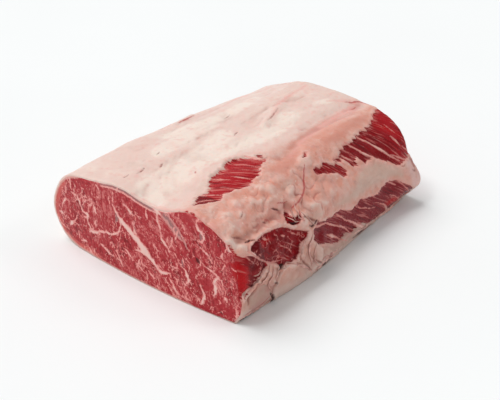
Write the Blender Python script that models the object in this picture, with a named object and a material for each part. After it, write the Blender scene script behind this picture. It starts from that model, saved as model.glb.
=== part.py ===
"""A raw boneless beef loin roast: one block of muscle, cut square at both ends, with its fat cap on.

+Y runs along the grain of the loin, from the near cut face to the far one, +X is the trimmed rib
side, and +Z is up. The origin is on the ground, under the middle of the roast.
All the sizes below are in millimetres, and MM turns them into metres.
"""

import bmesh
import bpy
import numpy as np
from mathutils import Vector, geometry, noise

MM = 0.001

# Driving dimensions of the block.
LENGTH = 240.0
NEAR_BOW = 6.0  # how far the foot of the near cut face stands out in front of its top
FAR_BOW = 3.0
FACE_HEIGHT = 80.0
FACE_HALF_WIDTH = 98.0

# The section at four places along the length. Each name is a point of the outline, and its four
# (x, z) pairs are at those places. The outline runs from the right foot over the top to the left.
PLACES = (-120.0, -43.0, 43.0, 120.0)
OUTLINE = {
    "foot_right": ((92, 0), (100, 0), (97, 0), (93, 0)),
    "low_right": ((98, 13), (102, 10), (101, 10), (101, 9)),
    "belly_right": ((99, 34), (100, 29), (100, 27), (106, 21)),
    "flank_right": ((97, 54), (95, 48), (93, 44), (95, 42)),
    "edge_right": ((88, 67), (84, 63), (82, 61), (86, 61)),
    "hump_right": ((68, 77), (63, 76), (63, 76), (68, 74)),
    "crest_right": ((48, 82), (42, 82), (42, 81), (43, 79)),
    "crown": ((17, 73), (11, 78), (10, 80), (8, 80)),
    "crest_left": ((-19, 78), (-19, 79), (-21, 79), (-19, 79)),
    "slope_left": ((-52, 73), (-50, 75), (-48, 74), (-44, 71)),
    "shoulder_left": ((-84, 66), (-82, 66), (-78, 62), (-69, 60)),
    "cheek_left": ((-100, 47), (-98, 46), (-93, 42), (-84, 44)),
    "belly_left": ((-105, 26), (-103, 24), (-97, 21), (-91, 25)),
    "low_left": ((-96, 7), (-94, 7), (-90, 7), (-86, 8)),
    "foot_left": ((-82, 0), (-82, 0), (-80, 0), (-76, 0)),
}

# The relief of the skin is given at places (y, s), where s is the share of the way round the
# outline, in percent, from the right foot over the top to the left foot.
MM_PER_SHARE = 3.18

# Windows where the fat was trimmed off the lean: how deep each is sunk, and its corners.
WINDOW_EDGE = 3.5
WINDOWS = {
    "top": (
        1.6,
        ((-110, 35.5), (-100, 33.5), (-85, 32.5), (-60, 31.5), (-40, 32.5), (-20, 35.5))
        + ((-25, 37), (-40, 41.5), (-52, 42), (-70, 40.5), (-85, 38.5), (-100, 37.5)),
    ),
    "far_top": (
        1.8,
        ((4, 24.5), (25, 21), (45, 21.5), (65, 21), (85, 18), (102, 15), (128, 17.5))
        + ((128, 33.5), (100, 30), (80, 29), (60, 27.5), (40, 27), (25, 25.5)),
    ),
    "near_side": (
        1.8,
        ((-128, 9), (-108, 10), (-92, 13), (-75, 12), (-65, 9), (-58, 9.5), (-40, 14))
        + ((-45, 16), (-55, 17.5), (-65, 19), (-80, 20), (-95, 20), (-128, 20.5)),
    ),
    "fingers": (
        1.5,
        ((-30, 10), (-10, 7), (5, 5), (30, 5), (60, 3.5), (100, 3), (116, 6), (100, 10))
        + ((80, 12), (60, 10.5), (40, 12), (20, 11.5), (0, 12.5), (-10, 14), (-28, 13)),
    ),
}

# Long folds and hollows of the fat: start, end, half width, and height, where below 0 is a hollow.
FOLDS = {
    "cap_valley": ((-110, 53), (20, 60), 16, -1.6),
    "cap_fold": ((30, 48.5), (66, 53.5), 7, 1.4),
    "cap_ridge": ((-60, 46), (110, 47), 14, 1.4),
    "shoulder_groove": ((-10, 34), (112, 38), 9, -2.2),
    "shoulder_roll": ((-112, 27), (10, 29), 11, 1.8),
    "side_groove": ((-112, 21.5), (-44, 21), 5, -2.0),
    "fat_band": ((-20, 17), (104, 15.0), 10, 2.8),
    "membrane_fold": ((-42, 17), (-30, 4), 6, 3.0),
    "corner_tuck": ((-112, 8), (-84, 6), 7, -2.2),
    "knuckle": ((96, 11), (119, 10), 11, 2.4),
}

# Soft lumps of the trimmed fat on the rib side, scattered between two corners (y, s).
LUMP_SEED = 7
LUMPS = 46
LUMPS_FROM = (-108, 2)
LUMPS_TO = (6, 31)
LUMP_RADIUS = (6.0, 11.0)
LUMP_HEIGHT = (0.8, 2.4)

SWELL = 1.0  # slow unevenness of the whole skin, and the length of its waves
SWELL_WAVE = 34.0
FACE_SWELL = 0.5
FACE_WAVE = 18.0
FOOT_FADE = 4.0  # the share, in percent, over which all relief dies out towards a foot

# How fine the solid's faces are.
STATIONS = 46
SKIN_POINTS = 84
FOOT_POINTS = 10
CURVE_STEPS = 12
FACE_GRID = 9.0


def clear_scene():
    for old in list(bpy.data.objects):
        bpy.data.objects.remove(old, do_unlink=True)


def between_places(values, y):
    """Cubic values at y from values at PLACES, level at both ends."""
    places = np.array(PLACES)
    slopes = np.zeros_like(values)
    slopes[1:-1] = (values[2:] - values[:-2]) / (places[2:] - places[:-2])[:, None, None]
    i = int(np.clip(np.searchsorted(places, y) - 1, 0, len(places) - 2))
    span = places[i + 1] - places[i]
    t = (y - places[i]) / span
    start = values[i] * (2 * t**3 - 3 * t**2 + 1) + slopes[i] * span * (t**3 - 2 * t**2 + t)
    end = values[i + 1] * (3 * t**2 - 2 * t**3) + slopes[i + 1] * span * (t**3 - t**2)
    return start + end


def rounded(points):
    """A smooth curve through the points, as a Catmull-Rom spline."""
    p = np.vstack([2 * points[0] - points[1], points, 2 * points[-1] - points[-2]])
    t = np.linspace(0, 1, CURVE_STEPS, endpoint=False)[:, None]
    curve = []
    for a, b, c, d in zip(p[:-3], p[1:-2], p[2:-1], p[3:]):
        bend = a - 2.5 * b + 2 * c - d / 2
        twist = 1.5 * (b - c) + (d - a) / 2
        curve.append(b + (c - a) * t / 2 + bend * t**2 + twist * t**3)
    return np.vstack([*curve, points[-1]])


def skin_line(y):
    """(x, z) of the skin at y, evenly spaced from the right foot over the top to the left foot."""
    sections = np.array(list(OUTLINE.values()), float).transpose(1, 0, 2)
    curve = rounded(between_places(sections, y))
    run = np.concatenate([[0], np.cumsum(np.linalg.norm(np.diff(curve, axis=0), axis=1))])
    even = np.linspace(0, run[-1], SKIN_POINTS)
    return np.column_stack([np.interp(even, run, curve[:, 0]), np.interp(even, run, curve[:, 1])])


def depth_inside(outline, p):
    """How far p is inside the outline, or outside it where the result is below 0."""
    a = np.asarray(outline, float)
    b = np.roll(a, -1, axis=0)
    edge = b - a
    t = np.clip(((p - a) * edge).sum(axis=1) / (edge**2).sum(axis=1), 0, 1)
    away = np.linalg.norm(p - a - t[:, None] * edge, axis=1).min()
    spans = (a[:, 1] > p[1]) != (b[:, 1] > p[1])
    a, edge = a[spans], edge[spans]
    hits = a[:, 0] + (p[1] - a[:, 1]) * edge[:, 0] / edge[:, 1] > p[0]
    return away if np.count_nonzero(hits) % 2 else -away


def soft_step(value):
    """Rises smoothly from 0 to 1 as value goes from 0 to 1."""
    t = np.clip(value, 0, 1)
    return t * t * (3 - 2 * t)


def on_skin(places):
    """Places (y, s) in millimetres along and round the skin."""
    return np.asarray(places, float) * (1, MM_PER_SHARE)


def window_relief(p):
    """How far the trimmed windows are sunk at p, a place in millimetres."""
    return max(
        depth * soft_step(0.5 + depth_inside(on_skin(corners), p) / WINDOW_EDGE)
        for depth, corners in WINDOWS.values()
    )


def fold_relief(p):
    """The long folds at p, each a soft ridge or hollow that dies out past its ends."""
    height = 0.0
    for start, end, half_width, rise in FOLDS.values():
        a = on_skin(start)
        run = on_skin(end) - a
        t = np.clip((p - a) @ run / (run @ run), 0, 1)
        away = np.linalg.norm(p - a - t * run) / half_width
        height += rise * np.exp(-1.2 * away**2)
    return height


def lump_relief(p, lumps):
    centres, radii, heights = lumps
    away = np.linalg.norm(centres - p, axis=1) / radii
    return (heights * np.clip(1 - away**2, 0, 1) ** 2).max()


def scatter_lumps():
    """The centres, radii and heights of the lumps of fat."""
    draw = np.random.default_rng(LUMP_SEED)
    centres = draw.uniform(on_skin(LUMPS_FROM), on_skin(LUMPS_TO), (LUMPS, 2))
    return centres, draw.uniform(*LUMP_RADIUS, LUMPS), draw.uniform(*LUMP_HEIGHT, LUMPS)


def relief(point, share, lumps):
    """How far the skin stands out at a point of it. At the feet, which stay flat, it is nothing."""
    p = on_skin((point[1], share))
    swell = SWELL * noise.noise(Vector(point) / SWELL_WAVE)
    raised = fold_relief(p) + lump_relief(p, lumps) + swell - window_relief(p)
    return raised * soft_step(min(share, 100 - share) / FOOT_FADE)


def end_bow(x, z, bow):
    across = np.clip(1 - (x / FACE_HALF_WIDTH) ** 2, 0, 1)
    return bow * across * np.clip(1 - z / FACE_HEIGHT, 0, 1)


def ring_points(station, lumps):
    """One closed ring of the block: the skin, then the flat foot from left to right."""
    t = station / (STATIONS - 1)
    y = LENGTH * (t - 0.5)
    line = skin_line(y)
    along = np.gradient(line, axis=0)
    out = np.column_stack([along[:, 1], -along[:, 0]])
    out /= np.linalg.norm(out, axis=1)[:, None]
    shares = np.linspace(0, 100, SKIN_POINTS)
    raised = [relief((x, y, z), share, lumps) for (x, z), share in zip(line, shares)]
    line += out * np.array(raised)[:, None]
    line[:, 1] = np.maximum(line[:, 1], 0)
    foot = np.linspace(line[-1], line[0], FOOT_POINTS + 2)[1:-1]
    x, z = np.vstack([line, foot]).T
    near = -LENGTH / 2 - end_bow(x, z, NEAR_BOW)
    far = LENGTH / 2 + end_bow(x, z, FAR_BOW)
    return np.column_stack([x, near * (1 - t) + far * t, z])


def face_fill(ring, side):
    """The points and triangles that close one end, by an even grid inside the ring's outline.

    side is -1 at the near end and 1 at the far one.
    """
    outline = ring[:, [0, 2]]
    low, high = outline.min(axis=0), outline.max(axis=0)
    grid = []
    for row, z in enumerate(np.arange(low[1] + FACE_GRID / 2, high[1], FACE_GRID * 0.87)):
        for x in np.arange(low[0] + FACE_GRID * (row % 2) / 2, high[0], FACE_GRID):
            if depth_inside(outline, np.array([x, z])) > FACE_GRID * 0.4:
                grid.append((x, z))
    flat = [Vector(p) for p in [*outline, *grid]]
    edges = [(i, (i + 1) % len(ring)) for i in range(len(ring))]
    triangles = geometry.delaunay_2d_cdt(flat, edges, [], 1, 1e-4)[2]
    bow = NEAR_BOW if side < 0 else FAR_BOW
    points = []
    for x, z in grid:
        swell = FACE_SWELL * noise.noise(Vector((x, side * LENGTH, z)) / FACE_WAVE)
        points.append((x, side * (LENGTH / 2 + end_bow(x, z, bow) + swell), z))
    return points, triangles


def block_mesh(name):
    """The whole block as one closed mesh, centred over the origin."""
    lumps = scatter_lumps()
    rings = [ring_points(station, lumps) for station in range(STATIONS)]
    around = len(rings[0])
    points = [tuple(p) for ring in rings for p in ring]
    faces = []
    for start in range(0, (STATIONS - 1) * around, around):
        for i in range(around):
            j = (i + 1) % around
            faces.append((start + i, start + j, start + around + j, start + around + i))
    for ring, first, side in ((rings[0], 0, -1), (rings[-1], (STATIONS - 1) * around, 1)):
        inner, triangles = face_fill(ring, side)
        shift = len(points) - around
        points += inner
        faces += [[v + (first if v < around else shift) for v in triangle] for triangle in triangles]
    points = np.array(points)
    middle = (points.min(axis=0) + points.max(axis=0)) / 2
    points[:, :2] -= middle[:2]
    mesh = bpy.data.meshes.new(name)
    mesh.from_pydata((points * MM).tolist(), [], faces)
    return mesh


def face_outwards(mesh):
    bm = bmesh.new()
    bm.from_mesh(mesh)
    bmesh.ops.triangulate(bm, faces=bm.faces[:])
    bmesh.ops.recalc_face_normals(bm, faces=bm.faces[:])
    bm.to_mesh(mesh)
    bm.free()


def raw_beef_material():
    material = bpy.data.materials.new("raw_beef")
    material.use_nodes = True
    shader = material.node_tree.nodes["Principled BSDF"]
    shader.inputs["Base Color"].default_value = (0.62, 0.33, 0.30, 1)
    shader.inputs["Roughness"].default_value = 0.42
    shader.inputs["Metallic"].default_value = 0.0
    return material


def make_roast():
    mesh = block_mesh("beef_roast")
    face_outwards(mesh)
    mesh.shade_smooth()
    mesh.set_sharp_from_angle(angle=0.7)
    mesh.materials.append(raw_beef_material())
    roast = bpy.data.objects.new("beef_roast", mesh)
    bpy.context.scene.collection.objects.link(roast)


clear_scene()
make_roast()
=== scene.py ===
"""The looks of a raw boneless beef loin roast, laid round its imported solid.

The roast lies along Y: its near cut face looks along -Y, its trimmed rib side along +X, and its fat cap up.
The shape and its markings are in millimetres, before MM and the shift to the middle of the solid's foot. A
place on the skin is (y, share), where share is how far round the section it lies, in percent, from the right
foot over the top to the left foot. A place on a cut face is (x, z). A line is drawn through places that each
carry its half width there, and all colours are sRGB values from 0 to 255, as they look in full light.
"""

import math
from itertools import product
from typing import NamedTuple

import bmesh
import bpy
import numpy as np
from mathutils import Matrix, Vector, geometry, noise


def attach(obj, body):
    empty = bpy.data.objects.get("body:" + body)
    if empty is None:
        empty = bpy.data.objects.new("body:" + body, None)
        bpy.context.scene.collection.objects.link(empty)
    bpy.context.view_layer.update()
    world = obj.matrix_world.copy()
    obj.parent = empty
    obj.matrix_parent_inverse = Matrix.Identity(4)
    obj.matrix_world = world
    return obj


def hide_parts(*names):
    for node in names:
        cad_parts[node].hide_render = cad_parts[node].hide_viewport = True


MM = 0.001

# The block, as in the solid: its length between the cuts, how far each cut face bows out, and the height and
# half width over which the bow is lost.
LENGTH = 240.0
NEAR_BOW = 6.0
FAR_BOW = 3.0
FACE_HEIGHT = 80.0
FACE_HALF_WIDTH = 98.0

# Points (x, z) round its section, from the right foot over the top to the left, at each of PLACES along Y.
PLACES = (-120.0, -43.0, 43.0, 120.0)
OUTLINE = {
    "foot_right": ((92, 0), (100, 0), (97, 0), (93, 0)),
    "low_right": ((98, 13), (102, 10), (101, 10), (101, 9)),
    "belly_right": ((99, 34), (100, 29), (100, 27), (106, 21)),
    "flank_right": ((97, 54), (95, 48), (93, 44), (95, 42)),
    "edge_right": ((88, 67), (84, 63), (82, 61), (86, 61)),
    "hump_right": ((68, 77), (63, 76), (63, 76), (68, 74)),
    "crest_right": ((48, 82), (42, 82), (42, 81), (43, 79)),
    "crown": ((17, 73), (11, 78), (10, 80), (8, 80)),
    "crest_left": ((-19, 78), (-19, 79), (-21, 79), (-19, 79)),
    "slope_left": ((-52, 73), (-50, 75), (-48, 74), (-44, 71)),
    "shoulder_left": ((-84, 66), (-82, 66), (-78, 62), (-69, 60)),
    "cheek_left": ((-100, 47), (-98, 46), (-93, 42), (-84, 44)),
    "belly_left": ((-105, 26), (-103, 24), (-97, 21), (-91, 25)),
    "low_left": ((-96, 7), (-94, 7), (-90, 7), (-86, 8)),
    "foot_left": ((-82, 0), (-82, 0), (-80, 0), (-76, 0)),
}
MM_PER_SHARE = 3.18
AROUND = 100 * MM_PER_SHARE

# Its long folds, from (y, share) to (y, share), with half width and height, its lumps and its slow swell.
FOLDS = {
    "cap_valley": ((-110, 53), (20, 60), 16, -1.6),
    "cap_fold": ((30, 48.5), (66, 53.5), 7, 1.4),
    "cap_ridge": ((-60, 46), (110, 47), 14, 1.4),
    "shoulder_groove": ((-10, 34), (112, 38), 9, -2.2),
    "shoulder_roll": ((-112, 27), (10, 29), 11, 1.8),
    "side_groove": ((-112, 21.5), (-44, 21), 5, -2.0),
    "fat_band": ((-20, 17), (104, 15.0), 10, 2.8),
    "membrane_fold": ((-42, 17), (-30, 4), 6, 3.0),
    "corner_tuck": ((-112, 8), (-84, 6), 7, -2.2),
    "knuckle": ((96, 11), (119, 10), 11, 2.4),
}
LUMP_SEED = 7
LUMPS = 46
LUMPS_FROM = (-108, 2)
LUMPS_TO = (6, 31)
LUMP_RADIUS = (6.0, 11.0)
LUMP_HEIGHT = (0.8, 2.4)
SWELL = 1.0
SWELL_WAVE = 34.0

# How far from the foot, in shares, the block's relief and the finer relief fade in.
FOOT_FADE = 4.0
FINE_FADE = 1.2

# How closely the skin is laid out: the stations along Y, and the spacing in mm round it between two shares.
STATIONS = 296
RING_SPANS = ((0, 45, 0.8), (45, 75, 1.4), (75, 100, 3.0))
FOOT_POINTS = 24
CURVE_STEPS = 30
END_OFFSETS = (0.25, 0.55)

# Over how many neighbours the relief is blurred to find the small hollows and the broad valleys in it, which
# the skin's finish paints darker as painted shade, with the tops between them lighter as painted highlight.
HOLLOW_BLUR = 5
VALLEY_BLUR = 60

# How far from a cut the skin starts to round over and by how much, and what the bare corner has more.
LIP_LENGTH = 1.6
LIP_INSET = 0.9
CORNER_LENGTH = 5.0
CORNER_INSET = 2.2

# The fine relief: its heights in the windows of lean and on the fat, how deep a window is sunk and how wide
# its edge is, and how high and wide the fat's lip round it is.
FIBRE_HEIGHT = 0.42
KNOT_HEIGHT = 0.55
SINEW_HEIGHT = 0.5
STRAND_HEIGHT = 0.3
CRUMB_HEIGHT = 0.8
WRINKLE_HEIGHT = 1.5
PORE_HEIGHT = 0.07
FURROW_DEPTH = 0.45
CREASE_DEPTH = 0.9
GAP_DEPTH = 2.2
WINDOW_DEPTH = 1.5
WINDOW_EDGE = 2.4
WINDOW_LIP = 0.35
WINDOW_LIP_WIDTH = 1.6

# The ways (along Y, round the skin) in which the fat is rucked, wrinkled and dragged.
RUCK_WAY = (0.8, 0.6)
WRINKLE_WAY = (0.65, -0.76)
DRAG_WAY = (1.0, 0.6)

# Finer folds than the solid's, from (y, share) to (y, share), with half width and height.
FINE_FOLDS = (
    ((59, 52), (23, 47.6), 4.0, 0.9),
    ((23, 47.6), (-29, 49.4), 4.5, 0.7),
    ((20, 34.4), (90, 34.2), 4.0, 1.0),
    ((40, 38.8), (110, 40.6), 4.0, -0.9),
    ((56, 36.6), (98, 37.4), 3.0, 0.8),
    ((-112, 44), (-30, 43), 8.0, 0.9),
    ((-84, 56), (-36, 52), 7.0, -0.4),
    ((60, 58), (112, 62), 8.0, 0.9),
    ((-60, 66), (40, 70), 8.0, -0.8),
    ((10, 80), (96, 84), 9.0, 0.9),
    ((-96, 78), (-10, 82), 8.0, 0.8),
    ((-40, 88), (60, 92), 7.0, 0.7),
    ((-119, 23.2), (-111, 20.6), 3.2, 1.3),
    ((-6, 71.5), (20, 73), 3.0, 1.5),
    ((-70, 26), (-52, 24.6), 3.6, 1.1),
    ((-46, 23.6), (-30, 24.4), 4.0, 1.3),
    ((-24, 18.6), (-8, 17.2), 3.6, 1.2),
    ((-118, 8.2), (-113.4, 8.2), 2.2, 1.5),
)


class Lean(NamedTuple):
    """A window where the fat is trimmed off the lean.

    grain is the way its fibres run, in degrees from +Y towards the right foot, and bend how much they sag.
    deep is how dark its red is, dull how purple, ragged how far its edge jumps from fibre to fibre, and apart
    how many millimetres lie between its pale strands.
    """

    outline: tuple
    grain: float
    bend: float
    deep: float
    dull: float
    ragged: float
    apart: float


# How far outside a window its depth is worked out, how the numbers of the windows' fibres are kept apart, how
# long the pale strands are, and the fields where there is no window.
WINDOW_REACH = 12.0
WINDOWS_APART = 9.0
STRAND_REACH = 14.0
NO_WINDOW = {"lean": -WINDOW_REACH, "deep": 0.0, "dull": 0.0, "strand": -2.0}
LEANS = {
    "top": Lean(
        (
            (-110, 35.6), (-104, 34), (-99, 33.1), (-94, 32.4), (-88, 32.2), (-84, 33), (-79, 32.6),
            (-74, 32.9), (-69, 31.7), (-63, 31.1), (-57, 31), (-51, 31.3), (-45, 31.8), (-38, 32.7),
            (-31, 33.6), (-25, 34.4), (-19, 35.7), (-26, 36.1), (-26.5, 38), (-28.5, 40.2), (-32, 41.6),
            (-37, 42.1), (-42, 41.6), (-48, 41.8), (-54, 41.3), (-60, 40.4), (-65, 40.7), (-70, 40),
            (-77, 39), (-84, 38), (-91, 37), (-97, 37.7), (-101, 37), (-106, 36.2),
        ),
        grain=62, bend=0.013, deep=0.16, dull=0.0, ragged=4.2, apart=2.4,
    ),
    "top_tip": Lean(
        ((-22, 36.3), (-19, 36.6), (-18.5, 38), (-21.5, 38.6), (-23, 37.6)),
        grain=60, bend=0.0, deep=0.7, dull=0.1, ragged=0.8, apart=3.0,
    ),
    "far_top": Lean(
        (
            (37, 25.2), (42, 26.4), (48, 27), (54, 27.6), (60, 26.8), (66, 27.5), (71, 28), (76, 28.7),
            (83, 28.6), (92, 29.4), (100, 30.6), (107, 32), (113, 32.8), (126, 33.3), (126, 17),
            (116, 16.4), (108, 15.6), (101, 15), (94, 15.8), (88, 17.2), (81, 18.5), (76, 19.8), (70, 21.2),
            (66, 20.5), (60, 20), (57, 21.6), (55, 22.8), (52, 22.6), (50, 20.6), (45, 20.6), (43, 22.4),
        ),
        grain=52, bend=0.0, deep=0.70, dull=0.0, ragged=4.0, apart=5.6,
    ),
    "far_tongue": Lean(
        (
            (2, 24.4), (5, 25.7), (12, 25.3), (17, 25.7), (22, 24.6), (26, 24), (31, 23.8), (34, 22.2),
            (35, 21), (31, 19.4), (27, 20), (25, 21.6), (20, 22.2), (12, 23), (6, 23.2),
        ),
        grain=52, bend=0.0, deep=0.55, dull=0.0, ragged=3.4, apart=4.0,
    ),
    "far_sliver": Lean(
        ((29, 24.9), (36, 25.2), (38, 24.5), (36, 23.4), (33, 23.8)),
        grain=50, bend=0.0, deep=0.7, dull=0.1, ragged=1.2, apart=4.0,
    ),
    "side": Lean(
        (
            (-105.4, 18.3), (-103, 19.2), (-98, 19.4), (-90, 19.5), (-84, 19.7), (-77, 19.2), (-70, 18.9),
            (-64, 18.5), (-58, 17.4), (-52, 16), (-46, 15), (-41.5, 14.2), (-44, 13), (-48, 12.3),
            (-52, 11), (-54, 10), (-60, 9.2), (-66, 9.2), (-72, 9.9), (-77, 10), (-80, 11.2), (-87, 12.6),
            (-92, 13.6), (-98, 15.2), (-103, 16.8),
        ),
        grain=38, bend=0.0, deep=0.72, dull=0.0, ragged=0.6, apart=9.0,
    ),
    "corner": Lean(
        (
            (-127, 19.6), (-120, 19.4), (-114, 18.2), (-106, 17.1), (-99, 15.2), (-92, 13.4), (-91, 12.5),
            (-97, 12.1), (-103, 11.2), (-107, 10), (-111, 8.9), (-114, 8.7), (-118.4, 8.4), (-121, 7.2),
            (-127, 7),
        ),
        grain=40, bend=0.0, deep=0.22, dull=0.0, ragged=0.6, apart=14.0,
    ),
    "cluster": Lean(
        (
            (-56, 18.4), (-53, 20.2), (-50, 20.9), (-47, 20.4), (-49.5, 19.2), (-46, 18.3), (-41, 18.5),
            (-42, 17.1), (-47, 16.6), (-52, 17),
        ),
        grain=30, bend=0.0, deep=0.75, dull=0.0, ragged=1.8, apart=4.0,
    ),
    "fingers": Lean(
        (
            (-37, 11.4), (-33, 12.3), (-29, 13), (-24, 14), (-18, 13.4), (-11, 13.3), (-4, 12.5), (3, 12.9),
            (9, 12.8), (16, 11.7), (24, 10.8), (32, 11.3), (40, 11.8), (48, 11), (56, 10.6), (64, 10.9),
            (72, 12), (80, 12.7), (88, 11.7), (95, 10.2), (101, 8.6), (108, 7.3), (113, 5), (115, 2.8),
            (104, 1.6), (84, 1.4), (66, 1.5), (54, 2.2), (46, 3), (40, 4), (32, 5), (27, 4.6), (20, 4.6),
            (14, 5.6), (8, 5.2), (0, 4.9), (-8, 5.5), (-16, 6.8), (-24, 8.2), (-31, 9.2),
        ),
        grain=38, bend=0.0, deep=0.62, dull=0.6, ragged=2.0, apart=7.0,
    ),
    "spot": Lean(
        ((1, 29.4), (5, 29.8), (9, 30.7), (10, 30), (5, 29.2)),
        grain=10, bend=0.0, deep=0.1, dull=0.0, ragged=0.4, apart=9.0,
    ),
}

# Lines on the skin, each through (y, share, half width in mm). Sinews are the pale bands that cross the lean.
SINEWS = (
    ((-104, 36.6, 0.5), (-99.5, 35.6, 0.8), (-95, 33.6, 0.6)),
    ((-93, 37.6, 1.0), (-90, 35.6, 0.7), (-86, 33.4, 0.5)),
    ((-68, 40.2, 0.6), (-66, 38, 1.0), (-63, 36, 0.5)),
    ((-59, 36.6, 0.3), (-56.4, 34.6, 1.0), (-52, 32.6, 0.5)),
    ((-27, 40.6, 0.8), (-26.4, 38, 1.0), (-24.5, 36.2, 1.0), (-22, 35.3, 0.6)),
    ((30, 25.2, 0.8), (33.5, 24, 0.8), (37, 22.7, 0.6)),
    ((41.5, 25.4, 0.6), (45, 23.6, 0.9), (49, 22, 0.5)),
    ((53.5, 27.6, 0.6), (58, 25.5, 0.9), (62, 23.8, 1.0), (66, 22.1, 1.5), (71, 20.6, 0.8)),
    (
        (70, 28, 0.7), (74, 26, 1.0), (79, 24, 1.1), (84, 21.8, 1.7), (88, 20.5, 1.3), (94, 18.3, 0.9),
        (102, 16.1, 0.6),
    ),
    ((95, 18.8, 0.5), (103, 17.1, 0.9), (111, 15.2, 0.8)),
    ((104, 23.8, 0.5), (107.5, 21.6, 1.2), (111, 19.8, 0.5)),
    ((106.5, 27.8, 0.4), (109, 25.4, 0.5), (111, 24, 0.3)),
    ((113, 19.6, 0.5), (119, 17.4, 1.0)),
    (
        (-109, 18.8, 0.7), (-105, 17.3, 0.6), (-98, 15.2, 0.45), (-92, 13.6, 0.5), (-87, 12.6, 0.7),
        (-80, 11.6, 0.8),
    ),
    ((-68, 17, 0.3), (-65, 16.4, 0.9), (-62, 16, 0.3)),
    ((-88, 18.9, 0.4), (-86, 18.4, 0.9), (-83.5, 18, 0.3)),
    ((-57, 15.8, 0.3), (-53.5, 15.2, 0.7), (-50.5, 14.6, 0.3)),
    ((-75, 16.2, 0.3), (-70, 14.4, 0.5), (-64, 12.8, 0.5), (-61, 11.2, 0.3)),
    ((-83, 15.8, 0.2), (-78, 14.2, 0.4), (-74, 12.6, 0.3)),
    ((-112, 18.2, 0.3), (-109.5, 16.8, 0.6), (-106, 15.4, 0.3)),
    (
        (-28, 13, 0.8), (-20, 12.6, 1.0), (-13, 12.2, 0.8), (-5, 10.5, 1.0), (2, 9.3, 0.8), (9, 7.9, 1.0),
        (14, 6.4, 0.8), (19, 4.7, 0.6),
    ),
    (
        (3, 12.6, 0.6), (8, 10.9, 0.8), (14, 9.2, 0.7), (20, 7.9, 0.9), (27, 6.1, 1.2), (36, 3.8, 1.4),
        (46, 1.2, 2.0),
    ),
    ((-14, 9, 0.4), (-8, 7.8, 1.5), (-3, 6.6, 0.9), (7, 4.4, 0.5), (17, 2.4, 0.3)),
    ((36, 9.5, 0.4), (42, 8.7, 0.6), (50, 7.5, 0.5), (57, 6.7, 0.5)),
    ((58, 8.2, 0.4), (66, 6.8, 0.6), (72, 5.2, 0.9), (80, 2.4, 1.5), (88, -1, 1.8)),
    ((29, 11.4, 0.4), (33, 10.4, 0.6), (38, 9.4, 0.3)),
    ((78, 8.2, 0.5), (88, 6.1, 0.6), (98, 3.4, 0.6), (107, 0, 0.6)),
    ((79, 12, 0.8), (83, 11.3, 0.9), (87, 10.4, 0.4)),
    ((88, 11.8, 0.4), (97, 8.9, 0.5), (108, 5.4, 0.6), (116, 2, 0.6)),
)

# Shallow creases and nicks of the fat, which the finish darkens as painted shade, and the deep gaps under the
# membranes, which it paints nearly black as their shadow.
CREASES = (
    ((-54, 8.8, 0.4), (-50, 7.2, 0.8), (-46, 5.6, 0.7), (-41, 3.6, 0.4)),
    ((-42, 8.2, 0.2), (-38, 6.2, 0.4), (-30, 3.6, 0.3)),
    ((-34, 5.0, 0.3), (-31, 4.2, 0.7), (-28, 3.2, 0.3)),
    ((-41, 17.6, 0.4), (-34, 16.6, 0.8), (-28, 15, 0.9), (-22, 13.8, 0.5)),
    ((-113, 23.2, 0.3), (-108, 22.4, 0.5), (-103, 21, 0.3)),
    ((-97, 57.2, 0.2), (-91, 57.4, 0.7), (-86, 57.9, 0.4)),
    ((-108, 58.7, 0.3), (-105, 58.4, 0.6), (-102, 58.6, 0.3)),
    ((-65, 59.7, 0.3), (-62, 59.9, 0.7), (-59.5, 60.3, 0.3)),
    ((-78, 55, 0.3), (-75, 55.4, 0.6), (-72, 55.8, 0.3)),
    ((19, 60.6, 0.2), (24, 60.9, 0.5), (29, 61.2, 0.2)),
    ((-4, 50.2, 0.2), (-1, 50.5, 0.4), (2, 50.7, 0.2)),
    ((30, 48.2, 0.2), (38, 48.8, 0.6), (46, 49.8, 0.5), (56, 51.4, 0.2)),
    ((98, 14.9, 0.2), (101, 14.4, 0.5), (104, 14.8, 0.2)),
    ((112, 12.4, 0.2), (114, 11.6, 0.6), (116, 11.4, 0.2)),
    ((-103, 8.9, 0.2), (-108, 8.3, 0.5), (-112.4, 7.4, 0.6), (-114, 5.6, 0.4)),
    ((-96, 25.6, 0.2), (-92, 25.9, 0.5), (-89, 26.5, 0.2)),
    ((20, 22.1, 0.2), (24, 21.4, 0.4), (28, 19.8, 0.4)),
)
GAPS = (
    ((-88, 4.4, 0.3), (-85.5, 3.2, 1.0), (-82, 0.8, 1.1), (-80, -1, 0.8)),
    ((-84.5, 7, 0.4), (-82.4, 6.5, 0.9), (-80.6, 5.8, 0.3)),
    ((-79.4, 9.4, 0.9), (-77, 9.9, 1.6), (-74.4, 10.1, 0.6)),
    ((-110, 9.2, 0.1), (-106, 10.2, 0.4), (-101, 11.4, 0.2)),
    ((-62, 23.2, 0.0), (-58.5, 22.7, 0.5), (-55, 22, 0.0)),
    ((-77, 21.8, 0.0), (-75.6, 21.6, 0.3), (-74, 21.3, 0.0)),
    ((-54, 18.2, 0.4), (-52, 17.4, 1.0), (-48, 17, 0.6)),
    ((-34, 1.9, 0.3), (-28, 1.8, 1.5), (-22, 1.7, 2.5), (-16, 1.6, 2.1), (-10, 1.4, 0.3)),
    ((22, 2.3, 0.3), (29, 2.1, 1.4), (37, 1.9, 2.5), (44, 1.7, 2.5), (50, 1.4, 1.2), (54, 1.2, 0.3)),
    ((-118, 0.6, 0.4), (-110, 0, 1.2), (-100, -0.3, 1.3), (-92, -0.4, 0.6)),
    ((-37, 14.9, 0.3), (-31, 14, 0.7), (-25, 14.4, 0.5)),
    ((-105, 20.5, 0.2), (-101, 20.4, 0.7), (-97, 20, 0.4)),
)


class Sheet(NamedTuple):
    """A sheet of membrane on the skin: how far its lip stands up, how rumpled it is, and its greyness."""

    outline: tuple
    rise: float
    rumple: float
    grey: float


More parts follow.
